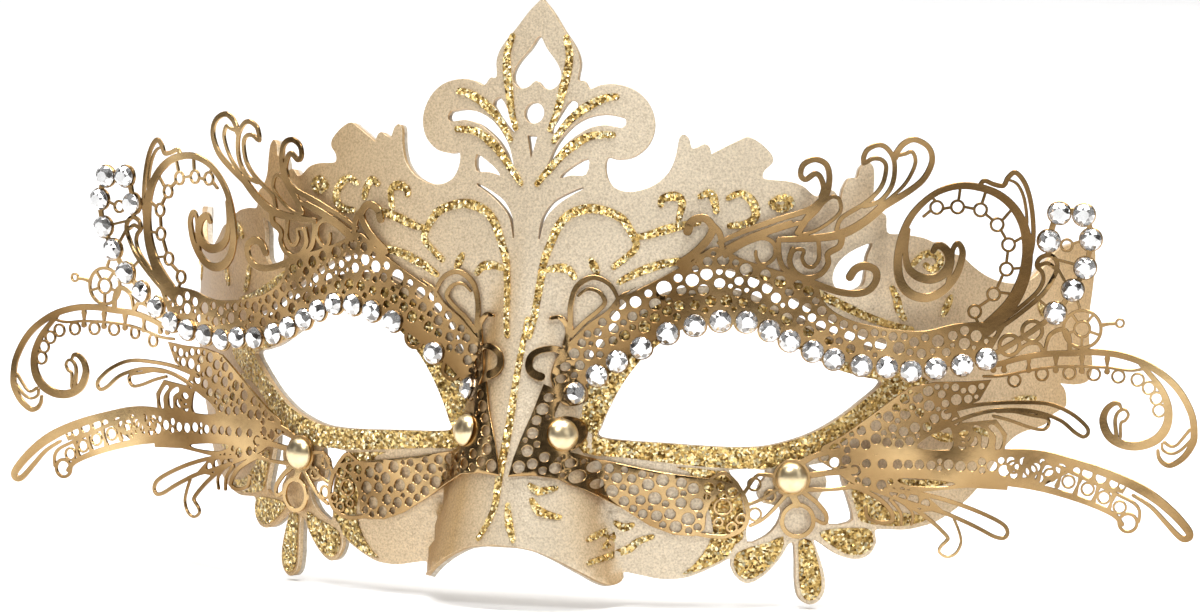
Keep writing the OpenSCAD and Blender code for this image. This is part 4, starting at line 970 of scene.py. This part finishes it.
def dress_hidden_fixings():
    for part in ("post", "washer"):
        for place in ("nose", "cheek"):
            for end in ("left", "right"):
                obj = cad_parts[f"{place}_stud_{part}_{end}"]
                obj.data.materials.clear()
                obj.data.materials.append(MATERIALS["stud_metal"])


# ---------- putting it together ----------

def own(obj, node):
    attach(obj, "root")
    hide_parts(node)


def make_stage():
    """A wide pale floor. The camera looks down on it a little, so it is the background too."""
    floor_z, half = -0.0305, 5.0
    corners = [(x * half, y * half, floor_z) for x, y in ((-1, -1), (1, -1), (1, 1), (-1, 1))]
    stage = new_object("stage", np.array(corners) / MM, [(0, 1, 2, 3)], floor_paint())


def area_light(name, place, aim, size, power):
    lamp = bpy.data.lights.new(name, "AREA")
    lamp.shape, lamp.size, lamp.size_y = "RECTANGLE", size[0], size[1]
    lamp.energy = power
    obj = bpy.data.objects.new(name, lamp)
    obj.location = place
    obj.rotation_euler = (Vector(aim) - Vector(place)).to_track_quat("-Z", "Y").to_euler()
    bpy.context.collection.objects.link(obj)


def make_light():
    """Soft boxes round a room that is dark in front of the mask and pale behind it."""
    world = bpy.data.worlds.new("studio")
    bpy.context.scene.world = world
    world.use_nodes = True
    tree = world.node_tree
    coords = tree.nodes.new("ShaderNodeTexCoord")
    split = tree.nodes.new("ShaderNodeSeparateXYZ")
    ramp = tree.nodes.new("ShaderNodeValToRGB")
    tree.links.new(coords.outputs["Generated"], split.inputs[0])
    tree.links.new(split.outputs["Y"], ramp.inputs[0])
    tree.links.new(ramp.outputs[0], tree.nodes["Background"].inputs["Color"])
    ramp.color_ramp.elements[0].color = (0.06, 0.045, 0.03, 1)
    ramp.color_ramp.elements[1].color = (1, 0.98, 0.95, 1)
    ramp.color_ramp.elements[1].position = 0.6
    tree.nodes["Background"].inputs["Strength"].default_value = 0.3
    area_light("key", (0.19, -0.88, 1.1), (0, 0, 0.02), (0.4, 0.3), 8.5)
    area_light("left_fill", (-1.1, -0.7, 0.4), (0, 0, 0.02), (0.25, 0.5), 0.4)
    area_light("right_fill", (1.1, -0.4, 0.5), (0, 0, 0.02), (0.25, 0.5), 0.9)
    area_light("top", (0, 0.1, 0.8), (0, 0, 0), (0.8, 0.4), 2)
    area_light("high", (0, -0.1, 1.3), (0, 0.7, 0.3), (2.0, 0.3), 30)
    area_light("floor_wash", (-0.45, 1.5, 1.0), (-0.45, 1.5, 0), (2.6, 1.8), 24)
    bpy.context.scene.view_settings.view_transform = "Standard"


def make_camera():
    """Looks from a little to the wearer's left and a little above."""
    turn, rise, roll = math.radians(18.5), math.radians(5), math.radians(0.85)
    distance, shift_across, shift_up = 1.5, 0.01404, 0.0221
    back = Vector((math.sin(turn) * math.cos(rise), -math.cos(turn) * math.cos(rise), math.sin(rise)))
    right = Vector((math.cos(turn), math.sin(turn), 0))
    up = back.cross(right)
    across = right * math.cos(roll) + up * math.sin(roll)
    high = up * math.cos(roll) - right * math.sin(roll)
    camera = bpy.data.cameras.new("camera")
    camera.lens = 256.5
    camera.clip_start, camera.clip_end = 0.1, 20
    obj = bpy.data.objects.new("camera", camera)
    place = across * shift_across + high * shift_up + back * distance
    obj.matrix_world = Matrix((
        (across.x, high.x, back.x, place.x), (across.y, high.y, back.y, place.y),
        (across.z, high.z, back.z, place.z), (0, 0, 0, 1)))
    bpy.context.collection.objects.link(obj)
    bpy.context.scene.camera = obj


MATERIALS = {
    "leatherette": leatherette(), "backing": backing(), "gold_glitter": glitter(),
    "filigree_gold": gold_sheet(), "rhinestone": rhinestone(), "polished_gold": dome_gold(),
    "stud_metal": plain_metal("stud_metal", (0.5, 0.48, 0.45), (0.7, 0.68, 0.64), 0.35),
    "eyelet_metal": plain_metal("eyelet_metal", (0.6, 0.43, 0.2), (0.8, 0.62, 0.36), 0.3)}

make_shell()
make_glitter()
make_filigree()
make_stones()
make_studs()
make_eyelets()
dress_hidden_fixings()
make_stage()
make_light()
make_camera()
